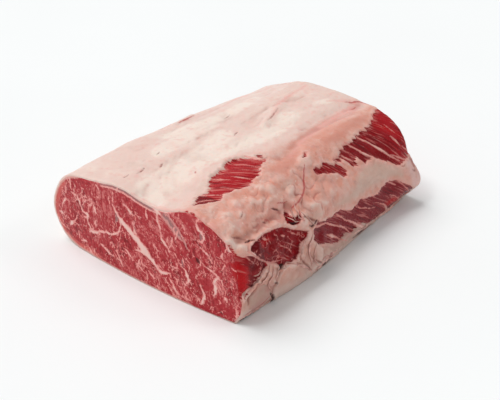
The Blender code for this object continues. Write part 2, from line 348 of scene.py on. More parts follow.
# How wide the edge of a sheet is, how much of its height only its lip has, how far in that is lost, and how
# far outside its outline a sheet is worked out.
SHEET_EDGE = 0.9
SHEET_LIP = 0.45
SHEET_LIP_FALL = 2.2
SHEET_REACH = 3.0
SHEETS = {
    "smooth_patch": Sheet(
        (
            (-111.6, 7.6), (-104, 8.5), (-98, 8.4), (-91, 7.2), (-87, 5.2), (-86, 3.4), (-88, 2),
            (-95, 1.6), (-105, 2.2), (-113, 4.2),
        ),
        rise=0.8, rumple=0.0, grey=1.0,
    ),
    "ragged_fold": Sheet(
        (
            (-107, 10.4), (-102, 11.6), (-96, 12.2), (-90, 12.9), (-85, 12.7), (-80, 11.1), (-79, 9),
            (-82, 7.6), (-85, 6.2), (-89, 6.2), (-95, 8.2), (-101, 9.2),
        ),
        rise=1.6, rumple=0.8, grey=0.45,
    ),
    "large_sheet": Sheet(
        (
            (-76, 8.4), (-75, 9.7), (-68, 9.4), (-63, 8.9), (-56, 7.4), (-49, 5.9), (-42, 3.6), (-36, 0.6),
            (-40, -1), (-70, -1), (-80, 0.2), (-84, 1.6), (-84, 3.4), (-83, 4.8), (-80, 7),
        ),
        rise=1.9, rumple=0.25, grey=0.25,
    ),
    "fan": Sheet(
        (
            (-44, 14.4), (-40, 14.6), (-36, 12.6), (-33, 10.6), (-32, 9), (-22, 6.6), (-15, 5.2),
            (-14, 3.4), (-22, 2.6), (-31, 1), (-38, 2), (-46, 4.8), (-53, 6.8), (-60, 9), (-57, 9.8),
            (-52, 10.8), (-47, 12.6),
        ),
        rise=1.3, rumple=0.5, grey=0.4,
    ),
    "curl": Sheet(
        (
            (-35, 4.4), (-26, 3.9), (-14, 2.7), (-3, 1.6), (4, 0.8), (6, 0), (-4, -0.6), (-14, 0.4),
            (-28, 1.6),
        ),
        rise=1.6, rumple=0.2, grey=0.2,
    ),
    "lilac_band": Sheet(
        (
            (-20, 6.6), (-8, 5.8), (4, 5.2), (14, 5.8), (30, 5), (44, 3.2), (54, 2), (48, 0.8), (30, 2),
            (10, 2.6), (-8, 3.2),
        ),
        rise=0.3, rumple=0.2, grey=1.0,
    ),
    "far_hem": Sheet(
        (
            (4, 5.8), (20, 4.8), (32, 4), (46, 2.6), (60, 1.4), (84, 1.2), (112, 1.4), (112, -2), (60, -3),
            (30, -2), (8, 1),
        ),
        rise=1.0, rumple=0.15, grey=0.5,
    ),
}

# Red tips of lean along the rim of the near cut, and thin red lines and specks in the fat.
RED_TIPS = (
    (
        (-124, 41, 0.8), (-121.7, 39.8, 1.8), (-123.2, 38.8, 0.9), (-121.3, 37.6, 1.8), (-122.8, 36.6, 1.0),
        (-121.5, 35.4, 1.8), (-123, 34.6, 0.9), (-120.6, 33.4, 2.0), (-123, 32.4, 0.8),
    ),
    ((-121, 22.6, 0.6), (-120.6, 21.4, 1.4), (-120, 20, 1.6)),
)
VEINS = (
    ((-6, 70.6, 0.2), (2, 71.2, 0.9), (10, 71.6, 1.1), (19, 71.9, 0.5), (26, 71.4, 0.1)),
    ((106, 42, 0.3), (112, 40.8, 0.8), (118, 39.2, 0.8), (119.4, 36.6, 0.5)),
    ((100, 38.4, 0.2), (105, 38.2, 0.6), (110, 38.6, 0.2)),
    ((-3, 27.6, 0.3), (-14, 24.2, 0.8), (-24, 21.6, 0.8), (-34, 20.9, 0.7), (-44, 20.6, 0.4)),
    ((-38, 19.8, 0.2), (-41, 18.4, 0.5), (-42, 16.8, 0.3)),
    ((-69, 45.7, 0.5), (-67, 46.1, 0.5)),
    ((-75, 21.7, 0.2), (-73, 22.1, 0.5), (-70, 21.4, 0.4), (-71.6, 20.8, 0.2)),
    ((-54, 23.4, 0.2), (-48, 22.8, 0.5), (-42, 22.6, 0.2)),
    ((-117, 2.8, 0.1), (-106, 2.4, 0.7), (-96, 2.6, 0.8), (-89, 3.6, 0.2)),
)

# Soft patches, with wide edges: flushed pink fat, peach-coloured lumps, darker tan stretches, cream fat,
# grey-cream membrane, and the bright streaks of the lean. A half width below 0 leaves only a faint middle.
BLUSHES = (
    ((-90, 25.4, 0.6), (-89, 27.2, 1.8), (-86.6, 29, 1.2)),
    ((-4, 31.8, 0.8), (22, 34.4, 2.4), (52, 36.4, 3.0), (74, 36.2, 2.4), (92, 34.4, 1)),
    ((-50, 20, 0.6), (-38, 21.4, 1.0), (-25, 22, 1.0), (-12, 24.6, 1.0), (-2, 26.8, 1.2), (4, 28, 1.4)),
    ((-66, 24.6, 0.4), (-58, 23.4, 1.0), (-48, 22.6, 0.4)),
    ((-104, 24.4, 0.4), (-96, 24.6, 1.2), (-84, 24, 0.4)),
    ((-72, 46.6, 0.2), (-68, 46.4, 1.2), (-64, 47.2, 0.2)),
    ((-54, 44.4, 0.4), (-44, 43.6, 1.0), (-34, 42.8, 1.2), (-22, 40.6, 1.2), (-14, 37.6, 0.8)),
    ((20, 48.6, 0.4), (34, 48.8, 2.0), (46, 50.0, 2.6), (60, 53, 2.4), (84, 56, 2.6), (112, 57, 1)),
    ((-14, 73, 1), (2, 74.2, 3), (24, 75, 1)),
    ((96, 45, 1), (108, 42, 2.4), (118, 38, 2.4)),
    ((-121, 22, 1.4), (-119, 30, 1.8), (-119, 42, 1.4), (-120, 52, 0.8)),
    ((64, 37, 1), (80, 37.6, 4), (100, 38.4, 5), (114, 38.6, 3)),
    ((40, 19.6, 0.6), (52, 19.4, 1.6), (66, 19.2, 1.0)),
    ((-13, 2.4, 0.4), (-8, 1.8, 1.0), (-3, 1.6, 0.4)),
    ((-1, 3.4, 0.4), (3, 2.4, 1.3), (5, 1.6, 0.4)),
    ((-70, 84, -2), (-30, 86, 0), (10, 88, -2)),
    ((50, 70, 1), (80, 72, 3), (104, 70, 1)),
    ((-113, 4, 0.2), (-104, 2.8, 0.8), (-92, 1.7, 0.8), (-86, 1.8, 0.3)),
    ((54, 1.8, 0.4), (76, 1.2, 1.4), (94, 1.2, 1.2), (108, 1.4, 0.4)),
)
PEACHES = (
    ((-20, 20.2, 2), (-10, 20.4, 7), (2, 20.2, 8), (9, 19.6, 4)),
    ((-26, 30.2, 3), (-4, 31.0, 4), (20, 32.8, 5), (48, 33.6, 6), (74, 33.6, 5), (94, 33, 3)),
    ((-72, 27.4, 1), (-60, 28.4, 4), (-44, 28, 3)),
    ((-104, 29, 1), (-94, 30, 3), (-84, 30.6, 1)),
    ((34, 30, 3), (60, 31, 5), (90, 31, 2)),
    ((-78, 6.2, 1), (-64, 5, 5), (-50, 3.6, 2)),
)
FLUSHES = (
    ((-36, 31.4, 2), (-21, 30, 6), (-6, 31, 5), (8, 33, 3)),
    ((8, 34.6, 3), (25, 35.6, 4), (50, 37.2, 3), (80, 38.4, 2)),
    ((38, 30.4, 4), (54, 30.2, 6), (70, 31.4, 4), (89, 32, 5), (104, 33, 2)),
    ((-22, 6.2, 1.5), (-8, 5, 3), (6, 4.2, 3), (20, 4, 2), (36, 2.6, 1.5)),
)
CREAMS = (
    ((-114, 46, 6), (-106, 51, 9), (-84, 51, 14), (-60, 50, 14), (-36, 50, 11), (-8, 53, 7)),
    ((-44, 45.6, 4), (-22, 45.6, 5), (20, 43.6, 7), (52, 46, 6)),
    ((84, 46, 2), (96, 45, 3)),
    ((-118, 22.8, 4.4), (-114, 21.2, 5.0), (-109, 19.8, 3.4)),
    ((-118, 8.2, 2.0), (-114.6, 8.0, 3.4), (-111.6, 7.6, 2.0)),
    ((-112, 30, 1), (-104, 32, 3), (-92, 31.4, 1)),
    ((-28, 66, 5), (30, 62, 6), (70, 64, 3)),
    ((-96, 84, -6), (-50, 80, -2), (0, 82, -1), (50, 80, -2), (100, 82, -6)),
    ((-60, 60, 5), (-30, 60, 8), (4, 60, 4)),
)
MEMBRANES = (
    (
        (4, 14.8, 2), (18, 14.4, 4), (34, 14.6, 5), (50, 16.2, 9), (66, 16.2, 10), (84, 14.4, 5),
        (96, 12.6, 2),
    ),
    ((-92, 39.4, 0.6), (-84, 40.2, 1.4), (-74, 41.4, 0.8)),
    ((40, 26.2, 0.8), (46, 27.6, 1.4), (54, 28.8, 0.8)),
    ((-36, 17, 1.6), (-28, 15.8, 2.6), (-20, 15.6, 1.6)),
    ((-44, 24.8, 0.6), (-30, 25.6, 3), (-20, 26.6, 1)),
)
EMBERS = (
    ((74, 6.0, 2.2), (80, 5.0, 4.6), (88, 5.0, 4.6), (96, 3.6, 2.4)),
    ((-121, 17.0, 2.5), (-117.5, 14.5, 4.5), (-116.5, 11.5, 4.0), (-117.5, 9.5, 2.0)),
    ((-92, 17.8, 1.0), (-85, 18.0, 2.0), (-79, 18.2, 1.4)),
    ((98, 28.6, 0.6), (106, 26, 2.4), (114, 23, 1.6)),
)

# What the lines draw on the skin, and what the soft patches do: how far out of its lines each patch is worked
# out, and over how many millimetres it fades.
LINES = {"sinew": SINEWS, "crease": CREASES, "shadowed_gap": GAPS, "vein": VEINS, "red_tip": RED_TIPS}
PATCHES = {
    "blush": (BLUSHES, 6, 6),
    "peach": (PEACHES, 8, 9),
    "flush": (FLUSHES, 6, 8),
    "cream": (CREAMS, 9, 12),
    "membrane": (MEMBRANES, 8, 9),
    "ember": (EMBERS, 4, 6),
}

# Torn edges of membrane that stand off the skin, each through (y, share, half width). Below them, how thick a
# band is, how far its free edge stands off, how finely its course is stepped and how many sides it has.
FLAPS = (
    ((-121, 2.2, 0.8), (-113, 1.9, 2.2), (-104, 1.5, 2.6), (-97, 1.2, 2.2), (-90, 1.1, 0.8)),
    ((-86, 5.0, 0.4), (-84.6, 2.8, 0.8), (-86, 1.2, 0.9), (-91, 0.6, 0.5)),
    ((-89, 12.5, 0.5), (-93, 10.4, 1.0), (-99, 9.1, 1.2), (-107, 8.6, 0.8)),
    ((-85, 11.8, 0.5), (-87, 9.4, 1.2), (-90, 7.2, 1.2), (-87, 4.9, 0.6)),
    ((-80, 11.0, 0.4), (-82, 8.8, 1.1), (-84, 6.8, 0.6)),
    ((-119.4, 7.0, 0.5), (-118.2, 8.8, 1.4), (-112, 9.2, 1.2), (-107, 9.2, 0.5)),
    ((-77, 9.2, 0.4), (-70, 9.8, 0.9), (-62, 8.6, 1.0), (-52, 6.4, 1.0), (-44, 4.2, 0.9), (-39, 1.8, 0.4)),
    ((-42, 13.8, 0.4), (-46, 12.1, 1.0), (-52, 10.2, 1.3), (-55, 7.9, 0.6)),
    ((-39, 13.3, 0.4), (-41, 10.4, 1.2), (-42, 7.6, 1.2), (-40, 4.2, 0.6)),
    ((-35, 10.2, 0.4), (-37, 7.2, 0.8), (-35, 4.4, 0.8), (-28, 1.8, 0.4)),
    ((-32, 4.8, 0.4), (-20, 3.7, 1.2), (-10, 3.0, 1.2), (1, 2.6, 0.7)),
    ((-40, 2.8, 0.4), (-33, 3.1, 1.0), (-25, 3.0, 1.1), (-16, 2.7, 0.9), (-8, 2.3, 0.4)),
    ((22, 3.9, 0.4), (33, 3.5, 1.1), (44, 3.0, 1.1), (55, 2.1, 0.5)),
    ((60, 1.6, 0.4), (76, 1.3, 1.1), (92, 1.1, 1.1), (106, 1.2, 0.5)),
    ((-41, 21.4, 0.3), (-45, 20.0, 0.8), (-47.4, 18.6, 0.9), (-46.6, 17.2, 0.4)),
    ((-37.4, 21.6, 0.3), (-41, 19.8, 0.8), (-42.6, 18.0, 0.8), (-42.4, 16.6, 0.4)),
    ((-38.6, 19.2, 0.3), (-38, 17.4, 0.9), (-32, 15.2, 1.2), (-25, 13.2, 0.7)),
    ((-53, 20.4, 0.3), (-51.6, 18.8, 0.7), (-48.6, 17.6, 0.7), (-44, 17.0, 0.3)),
    ((-107, 12.2, 0.3), (-103, 11.9, 0.8), (-99, 12.4, 0.4)),
    ((112, 9.6, 0.4), (116, 12, 1.2), (117, 15, 1.0), (114, 17.4, 0.4)),
)
FLAP_THICKNESS = 0.45
FLAP_RISE = 1.1
FLAP_STEPS = 9
FLAP_SIDES = 10

# Lines on the near cut face, each through (x, z, half width): the fat and sinew between the muscles, the
# smaller marks of marbling that stand out, the grey pockets between films, painted darker as the shade in
# those recesses, and thin dark partings.
NEAR_SEAMS = (
    (
        (-31.5, 59, 0.4), (-28, 54.5, 1.0), (-24.5, 50.5, 1.5), (-21, 47.5, 2.6), (-14, 43.5, 2.2),
        (-8, 39.5, 2.5), (-3, 36.5, 2.8), (2, 32.8, 3.2), (6, 29.2, 2.7), (10.5, 26, 1.8), (15, 22.5, 1.4),
        (20, 19.4, 1.6), (25, 19.6, 1.5), (29.5, 20.8, 0.6),
    ),
    ((-9.5, 26.3, 0.3), (-4, 28.3, 1.0), (2, 29.2, 1.6), (8, 27.6, 1.2)),
    ((29, 17, 0.3), (32, 14, 0.7), (35, 10, 0.8), (38, 6.6, 0.8), (45, 5.2, 0.4)),
    (
        (-22.5, 46, 1.2), (-23.2, 41, 0.9), (-24.5, 36.8, 0.8), (-28, 33.6, 1.1), (-33, 31.2, 1.2),
        (-38, 30.6, 0.9), (-44, 29, 0.9), (-49, 26.6, 1.1), (-53, 25, 1.5), (-57, 24.4, 1.4),
        (-60, 22.4, 0.4),
    ),
    (
        (-57.5, 25.5, 0.9), (-59.5, 30, 0.7), (-61, 35, 0.9), (-60.5, 38.6, 1.4), (-64, 38.4, 0.8),
        (-67, 40, 0.9), (-68.6, 43, 0.7), (-69.6, 47, 0.7), (-72, 50.4, 0.7), (-77, 51.6, 0.5),
        (-80, 52, 0.2),
    ),
    ((-61, 35, 0.6), (-64, 34.6, 0.5), (-66, 35.4, 0.2)),
    ((-83.5, 19.5, 0.8), (-81, 21.5, 1.9), (-78.5, 24.6, 0.8)),
    ((-97, 27, 0.5), (-94, 26.3, 1.2), (-91.5, 25.8, 0.5)),
    ((-93, 33, 0.2), (-90.5, 37, 0.4), (-88.4, 40.6, 1.1), (-86.6, 43, 0.3)),
    ((-9, 51, 0.4), (-8.2, 47, 0.8), (-6.6, 43, 0.9)),
    (
        (16, 71, 1.4), (16.5, 66, 1.1), (17, 62, 0.8), (19.5, 57, 0.7), (20.5, 52.5, 0.6),
        (21.5, 48.8, 1.1), (24, 46.4, 1.2), (26.4, 43.6, 0.9), (29.5, 40.4, 0.5),
    ),
    (
        (-46, 74.4, 0.4), (-38, 75.2, 0.7), (-30, 76.7, 0.9), (-20, 77.7, 1.1), (-10, 77.2, 1.1),
        (0, 74.9, 1.1), (8, 73.2, 1.0), (14, 71.8, 1.2), (19, 69, 1.4),
    ),
    ((16, 72.6, 1.0), (21, 72.9, 1.6), (26, 73.6, 1.8), (30, 75.6, 0.7)),
    (
        (37, 36.8, 0.4), (40, 34.6, 0.7), (42, 31.6, 0.7), (45, 29.6, 0.9), (47, 26, 1.5), (48, 23, 1.3),
        (47.4, 20.4, 0.9), (45, 17.6, 0.5), (44, 14, 0.2),
    ),
    ((42.6, 40.4, 0.5), (43.8, 37.6, 0.9), (44.6, 34.6, 0.4)),
    (
        (76.6, 36.4, 0.8), (74.2, 33, 1.4), (73, 29.6, 1.3), (73.6, 26, 1.6), (74, 22, 1.6),
        (71.8, 18.6, 0.5),
    ),
    ((75, 34.4, 0.8), (79, 34.6, 0.8), (80.4, 31.4, 0.3)),
    ((59.4, 22.4, 0.6), (61.6, 19, 0.9), (63.6, 15, 1.2), (63, 11, 1.3), (62, 8, 1.3), (61, 5.2, 0.5)),
    (
        (56.8, 79.5, 0.9), (55.6, 75.6, 0.8), (57.4, 71.6, 1.2), (60.4, 68.4, 1.4), (62.4, 65, 1.0),
        (60.2, 61.6, 1.0), (57, 60, 0.4),
    ),
    ((57, 57.4, 0.2), (62, 54.6, 0.4), (66, 53, 0.5), (69, 49.6, 0.9), (71, 47, 0.3)),
    ((84.6, 70, 1.0), (86.8, 66.4, 2.4), (88, 63.4, 0.8)),
    ((93, 15, 0.5), (93.6, 9, 0.8), (93, 3, 0.8)),
    ((98.4, 13, 0.8), (97.6, 7, 1.8), (96, 2.4, 1.2)),
    ((99.6, 34, 0.8), (100, 31, 1.5), (99, 27, 0.9)),
)
NEAR_MARKS = (
    ((-71, 9.2, 0.3), (-67, 10.4, 0.8), (-63.6, 11.2, 0.3)),
    ((-60.6, 6.8, 0.5), (-58, 4, 1.2), (-59, 1.6, 0.5)),
    ((-46, 16.4, 0.3), (-42, 15, 0.7), (-38, 13, 0.9), (-32, 10.4, 0.4)),
    ((-26.6, 18.6, 0.5), (-24.6, 14.4, 0.8), (-22.4, 9.4, 0.6), (-20.6, 6, 0.6)),
    ((-22, 21.4, 0.3), (-18, 21, 0.7), (-14.4, 20.4, 0.3)),
    ((-31, 73, 0.1), (-30.8, 66, 0.3), (-30.2, 60, 0.3)),
    ((-36.4, 66, 0.2), (-35.4, 62, 0.6), (-34.2, 58.6, 0.4)),
    ((-49.6, 69.4, 0.3), (-46, 66.6, 0.6), (-46.2, 62, 0.4), (-48, 59, 0.2)),
    ((-53, 49.4, 0.4), (-51.4, 46.6, 1.2), (-50.4, 43.6, 0.4)),
    ((-61, 48.6, 0.4), (-57.6, 48.2, 0.8), (-55, 49.4, 0.3)),
    ((-15.4, 62.4, 0.3), (-12.6, 60, 1.1), (-9.8, 57, 0.5)),
    ((-20, 64.6, 0.2), (-18, 63.6, 0.6), (-16, 63, 0.2)),
    ((-26.4, 76, 0.3), (-25.8, 73.6, 0.6), (-27, 71, 0.2)),
    ((32.2, 53.4, 0.3), (31.6, 50, 0.8), (31.8, 46.6, 0.4)),
    ((13, 40.4, 0.3), (15.6, 38.4, 0.7), (18, 36.4, 0.3)),
    ((82, 20.6, 0.5), (83.4, 19.4, 1.2), (84.6, 18.6, 0.4)),
    ((82, 50, 0.3), (80.6, 47.6, 0.7), (79, 44.4, 0.4)),
    ((81, 59.4, 0.3), (80, 57, 0.8), (79, 54, 0.3)),
    ((88.6, 50.4, 0.2), (92.4, 48.8, 0.5), (95.6, 45.8, 0.6)),
    ((59.6, 47.6, 0.3), (60.4, 44.6, 0.5), (59, 41, 0.3)),
    ((88, 38.6, 0.2), (90, 36.4, 0.4), (90.4, 33, 0.2)),
    ((30, 29.2, 0.3), (32.6, 27.4, 0.6), (32, 24.6, 0.3)),
    ((8, 13.6, 0.3), (10, 11.6, 0.6), (13.4, 9.6, 0.4)),
    ((5.6, 69, 0.3), (5, 65, 0.5), (6, 60.6, 0.2)),
    ((-4.6, 61, 0.3), (-3, 59.6, 0.5), (-1.4, 59, 0.2)),
    ((-0.6, 18.6, 0.3), (3, 17.8, 0.7), (7, 16.4, 0.3)),
    ((52, 13, 0.3), (56, 10.6, 0.6), (58.6, 8.6, 0.3)),
)
NEAR_FILMS = (
    (
        (21, 72.4, 0.7), (28, 69.4, 1.0), (34, 65.8, 1.0), (38, 62, 1.1), (41.4, 57.4, 1.0), (45, 53, 0.8),
        (49, 48.6, 0.3),
    ),
    ((18, 69, 1.0), (24, 66.2, 1.1), (28.4, 62.4, 1.0), (33, 59, 1.0), (37, 56.6, 1.0), (41.6, 54.2, 0.6)),
    ((-48, 72.6, 0.2), (-41, 73.6, 0.4), (-34, 74.6, 0.2)),
)
NEAR_POCKETS = (
    ((23, 69.6, 0.8), (28, 66, 1.8), (34, 61.6, 1.8), (38.6, 57.6, 0.9)),
    ((-28, 52, 0.6), (-27, 47.6, 1.5), (-28.2, 43.4, 0.5)),
    ((59, 67.6, 0.5), (59.6, 64.6, 1.1), (58.4, 62.6, 0.4)),
    ((41.4, 38, 0.4), (42, 35, 0.8), (43.4, 32.6, 0.3)),
    ((-8, 50, 0.2), (-6.6, 46, 0.5), (-5.4, 43, 0.2)),
)
NEAR_PARTINGS = (
    ((55.4, 45, 0.6), (56.8, 43.2, 1.6), (58, 41.6, 0.5)),
    ((78, 5.8, 0.3), (79.4, 5, 0.7), (81, 4.4, 0.3)),
    ((55, 59, 0.2), (58, 57.6, 0.5), (61, 56.6, 0.2)),
)
FAR_SEAMS = (
    (
        (-66, 52, 0.4), (-58, 45, 0.9), (-47, 43, 1.5), (-38, 36, 2.4), (-27, 34, 1.6), (-21, 27, 1.2),
        (-9, 25, 0.5),
    ),
    ((-38, 37, 1.0), (-33, 46, 0.9), (-35, 56, 0.7), (-29, 65, 0.4)),
    ((-4, 44, 0.5), (5, 40, 1.4), (15, 33, 2.0), (22, 30, 1.2), (31, 21, 0.9), (34, 12, 0.4)),
    ((13, 35, 0.7), (19, 44, 0.8), (28, 48, 1.2), (33, 58, 0.6)),
    ((46, 52, 0.5), (52, 42, 1.5), (50, 33, 1.1), (58, 25, 1.5), (61, 14, 0.6)),
    ((66, 62, 0.4), (72, 54, 1.2), (71, 46, 0.6)),
    ((-70, 22, 0.3), (-61, 23, 1.1), (-54, 18, 1.3), (-45, 19, 0.4)),
    ((-14, 14, 0.3), (-6, 11, 0.9), (2, 13, 0.4)),
    ((-12, 66, 0.3), (-5, 59, 1.0), (1, 57, 0.4)),
)
FAR_FILMS = (
    ((-20, 72, 0.5), (-8, 64, 0.9), (8, 60, 0.7)),
    ((20, 12, 0.4), (32, 10, 0.8), (44, 14, 0.5)),
)


class CutFace(NamedTuple):
    """One cut end, with the lines drawn on it.

    side is -1 at the near end and 1 at the far one, and spacing is that of its points. strokes and blots are
    how many fine and coarse marks of marbling it has, and flecks how many lumps of fat are grown on each
    square centimetre.
    """

    side: int
    bow: float
    spacing: float
    seams: tuple
    marks: tuple
    films: tuple
    pockets: tuple
    partings: tuple
    strokes: int
    blots: int
    flecks: float
    seed: int


FACES = {
    "near": CutFace(
        side=-1, bow=NEAR_BOW, spacing=0.58, seams=NEAR_SEAMS, marks=NEAR_MARKS, films=NEAR_FILMS,
        pockets=NEAR_POCKETS, partings=NEAR_PARTINGS, strokes=1800, blots=320, flecks=9.0, seed=11,
    ),
    "far": CutFace(
        side=1, bow=FAR_BOW, spacing=0.95, seams=FAR_SEAMS, marks=(), films=FAR_FILMS,
        pockets=(), partings=(), strokes=1700, blots=300, flecks=8.0, seed=12,
    ),
}

# The fine lines that fray out of the seams, and their chance at each step along one.
SHOOT_STEPS = 8
SHOOT_CHANCE = 0.28

# A cut face's slab: how far it lies inside the skin's edge, stands proud of the cut, and reaches back, how
# wide its rim rolls over and by what share of that, how many spacings its inner points keep off the rim, and
# how it swells.
FACE_INSET = 0.3
FACE_PROUD = 0.35
FACE_BACK = 3.0
FACE_ROLL = 1.5
FACE_ROLL_SHARE = 0.7
RIM_SPACINGS = 0.7
FACE_SWELL = 0.5
FACE_WAVE = 18.0

# The lumps of fat grown into it: how close and large they are, how far they are turned out of the flow, the
# draws of their size, how drawn out and broad they are for it, what share of the radius they stand out, and
# the least cosine between the slab's way out under one and the cut's.
FLECK_SPACING = 1.1
FLECK_RADIUS = 0.8
FLECK_TURN = 0.6
FLECK_SIZES = ((0.25, 1.0), (0.4, 1.0))
FLECK_DRAWN = (1.0, 2.6)
FLECK_BREADTH = (0.5, 0.9)
FLECK_RISE = 0.28
FLECK_FACING = 0.7
PER_SQUARE_CM = 10000  # in pieces on a square metre

# Within these distances a point is on the ground, and two points are one.
TOUCHING = 0.01
SAME_PLACE = 1e-5


# ---- Numbers over a surface ----


def unit(ways):
    """The ways, each scaled to a length of 1."""
    return ways / np.linalg.norm(ways, axis=-1, keepdims=True)


class Noise:
    """Smooth random heights through space, from about -1 to 1, and the same in each run."""

    LAYERS_APART = 7.31

    def __init__(self, seed):
        draw = np.random.default_rng(seed)
        self.order = np.tile(draw.permutation(256), 3)
        self.slopes = unit(draw.normal(size=(256, 3)))
        self.centres = draw.uniform(0.1, 0.9, (256, 2))

    def at(self, places):
        """The height at places in space, whose waves are 1 long."""
        cell = np.floor(places).astype(int)
        rest = places - cell
        ease = rest**3 * (rest * (6 * rest - 15) + 10)
        height = np.zeros(places.shape[:-1])
        for corner in product((0, 1), repeat=3):
            x, y, z = np.moveaxis((cell + corner) & 255, -1, 0)
            slope = self.slopes[self.order[self.order[self.order[x] + y] + z]]
            share = np.where(corner, ease, 1 - ease).prod(axis=-1)
            height += share * (slope * (rest - corner)).sum(axis=-1)
        return 1.5 * height

    def over(self, a, b, waves, layer):
        """The height over two coordinates, with a wavelength along each or along both. Each layer differs."""
        wave_a, wave_b = np.broadcast_to(waves, 2)
        level = np.full_like(a, self.LAYERS_APART * layer)
        return self.at(np.stack([a / wave_a, b / wave_b, level], axis=-1))

    def layers(self, a, b, *layers):
        """A sum of layers, each with its height, its wavelengths and its number."""
        return sum(height * self.over(a, b, waves, layer) for height, waves, layer in layers)

    def billows(self, a, b, size, layer):
        """Crumbly lumps with sharp valleys between them, the largest that size, from about -1 to 1."""
        height = np.zeros(a.shape)
        for octave, share in enumerate((0.58, 0.30, 0.12)):
            wave = size / 2**octave
            height += share * np.abs(self.over(a, b, (1.5 * wave, wave), layer + octave))
        return 4.4 * height - 1

    def pebbles(self, a, b, size):
        """How far each place is from the nearest pebble's middle and from the next one's, in sizes."""
        places = np.stack([a, b], axis=-1) / size
        cell = np.floor(places).astype(int)
        nearest = np.full(a.shape, np.inf)
        second = np.full(a.shape, np.inf)
        for step in product((-1, 0, 1), repeat=2):
            corner = cell + step
            number = self.order[self.order[corner[..., 0] & 255] + (corner[..., 1] & 255)]
            away = np.linalg.norm(places - corner - self.centres[number], axis=-1)
            second = np.minimum(second, np.maximum(nearest, away))
            nearest = np.minimum(nearest, away)
        return nearest, second


NOISE = Noise(5)


def ramp(value, start, stop):
    """Rises smoothly from 0 to 1 as value goes from start to stop, of which either may be the larger."""
    t = np.clip((value - start) / (stop - start), 0, 1)
    return t * t * (3 - 2 * t)


def rounded(points, steps=CURVE_STEPS):
    """A smooth curve through the points, as a Catmull-Rom spline."""
    points = np.asarray(points, float)
    p = np.vstack([2 * points[0] - points[1], points, 2 * points[-1] - points[-2]])
    t = np.linspace(0, 1, steps, endpoint=False)[:, None]
    curve = []
    for a, b, c, d in zip(p[:-3], p[1:-2], p[2:-1], p[3:]):
        bend = a - 2.5 * b + 2 * c - d / 2
        twist = 1.5 * (b - c) + (d - a) / 2
        curve.append(b + (c - a) * t / 2 + bend * t**2 + twist * t**3)
    return np.vstack([*curve, points[-1]])


def on_skin(places):
    """Places (y, share), with or without a half width, in millimetres along and round the skin."""
    scaled = np.array(places, float)
    scaled[..., 1] *= MM_PER_SHARE
    return scaled


def depth_inside(outline, p):
    """How far each point is inside the outline, or outside it where the result is below 0."""
    corners = np.asarray(outline, float)
    away = np.full(p.shape[:-1], np.inf)
    crossings = np.zeros(p.shape[:-1], int)
    for a, b in zip(corners, np.roll(corners, -1, axis=0)):
        edge = b - a
        t = np.clip((p - a) @ edge / (edge @ edge), 0, 1)
        away = np.minimum(away, np.linalg.norm(p - a - t[..., None] * edge, axis=-1))
        spans = (a[1] > p[..., 1]) != (b[1] > p[..., 1])
        crossings += spans & (a[0] + (p[..., 1] - a[1]) * edge[0] / (edge[1] or 1) > p[..., 0])
    return np.where(crossings % 2 == 1, away, -away)


class Canvas:
    """The points of a surface, by two coordinates in millimetres, on which lines are drawn."""

    FIRST_LAYER = 40  # of the noise that makes lines uneven
    STEPS = 4  # of a line's curve between two of its points

    def __init__(self, a, b, wobble):
        """wobble gives pairs of (height, wave) by which the lines' course is made uneven."""
        self.shape = a.shape
        start = np.stack([a.ravel(), b.ravel()], axis=1)
        moved = start.copy()
        for number, (height, wave) in enumerate(wobble):
            for axis in (0, 1):
                moved[:, axis] += height * NOISE.over(*start.T, wave, 2 * number + axis + self.FIRST_LAYER)
        self.points = moved
        self.order = np.argsort(moved[:, 0])
        self.first = moved[self.order, 0]

    def draw(self, lines, reach=2.0):
        """How far each point is inside the nearest line. Outside it the result is below 0, down to -reach."""
        depth = np.full(len(self.points), -reach)
        for line in lines:
            curve = rounded(line, self.STEPS) if len(line) > 2 else np.asarray(line, float)
            for a, b in zip(curve[:-1], curve[1:]):
                self.draw_piece(depth, a, b, reach)
        return depth.reshape(self.shape)

    def draw_piece(self, depth, a, b, reach):
        """Draws a straight piece of a line, from a to b, on the points that are close to it."""
        margin = reach + max(a[2], b[2])
        low, high = sorted((a[0], b[0]))
        start, stop = np.searchsorted(self.first, (low - margin, high + margin))
        found = self.order[start:stop]
        low, high = sorted((a[1], b[1]))
        second = self.points[found, 1]
        found = found[(second > low - margin) & (second < high + margin)]
        run = b - a
        rest = self.points[found] - a[:2]
        t = np.clip(rest @ run[:2] / (run[:2] @ run[:2] + 1e-9), 0, 1)
        inside = a[2] + run[2] * t - np.linalg.norm(rest - t[:, None] * run[:2], axis=1)
        depth[found] = np.maximum(depth[found], inside)


def close_to(outline, p, margin):
    """Which places are within that margin of the outline's box."""
    low, high = outline.min(axis=0) - margin, outline.max(axis=0) + margin
    return np.all((p > low) & (p < high), axis=-1)


def slanted(y, run, way):
    """Coordinates along and across a way over the skin."""
    return way[0] * y + way[1] * run, way[0] * run - way[1] * y


def add_object(name, data):
    made = bpy.data.objects.new(name, data)
    bpy.context.scene.collection.objects.link(made)
    return made


def give_values(mesh, values):
    """Stores each array as an attribute of the mesh's points: numbers, or vectors where it has 3 columns."""
    for name, value in values.items():
        value = np.ascontiguousarray(value, np.float32)
        if value.ndim == 2:
            mesh.attributes.new(name, "FLOAT_VECTOR", "POINT").data.foreach_set("vector", value.ravel())
        else:
            mesh.attributes.new(name, "FLOAT", "POINT").data.foreach_set("value", value)


# ---- Node trees ----


class Wire:
    """An output socket of a tree. Sums, differences and products of numbers on wires add Math nodes to it."""

    def __init__(self, tree, socket):
        self.tree = tree
        self.socket = socket

    def __add__(self, other):
        return self.tree.math("ADD", self, other)

    def __sub__(self, other):
        return self.tree.math("SUBTRACT", self, other)

    def __rsub__(self, other):
        return self.tree.math("SUBTRACT", other, self)

    def __mul__(self, other):
        return self.tree.math("MULTIPLY", self, other)

    __radd__ = __add__
    __rmul__ = __mul__


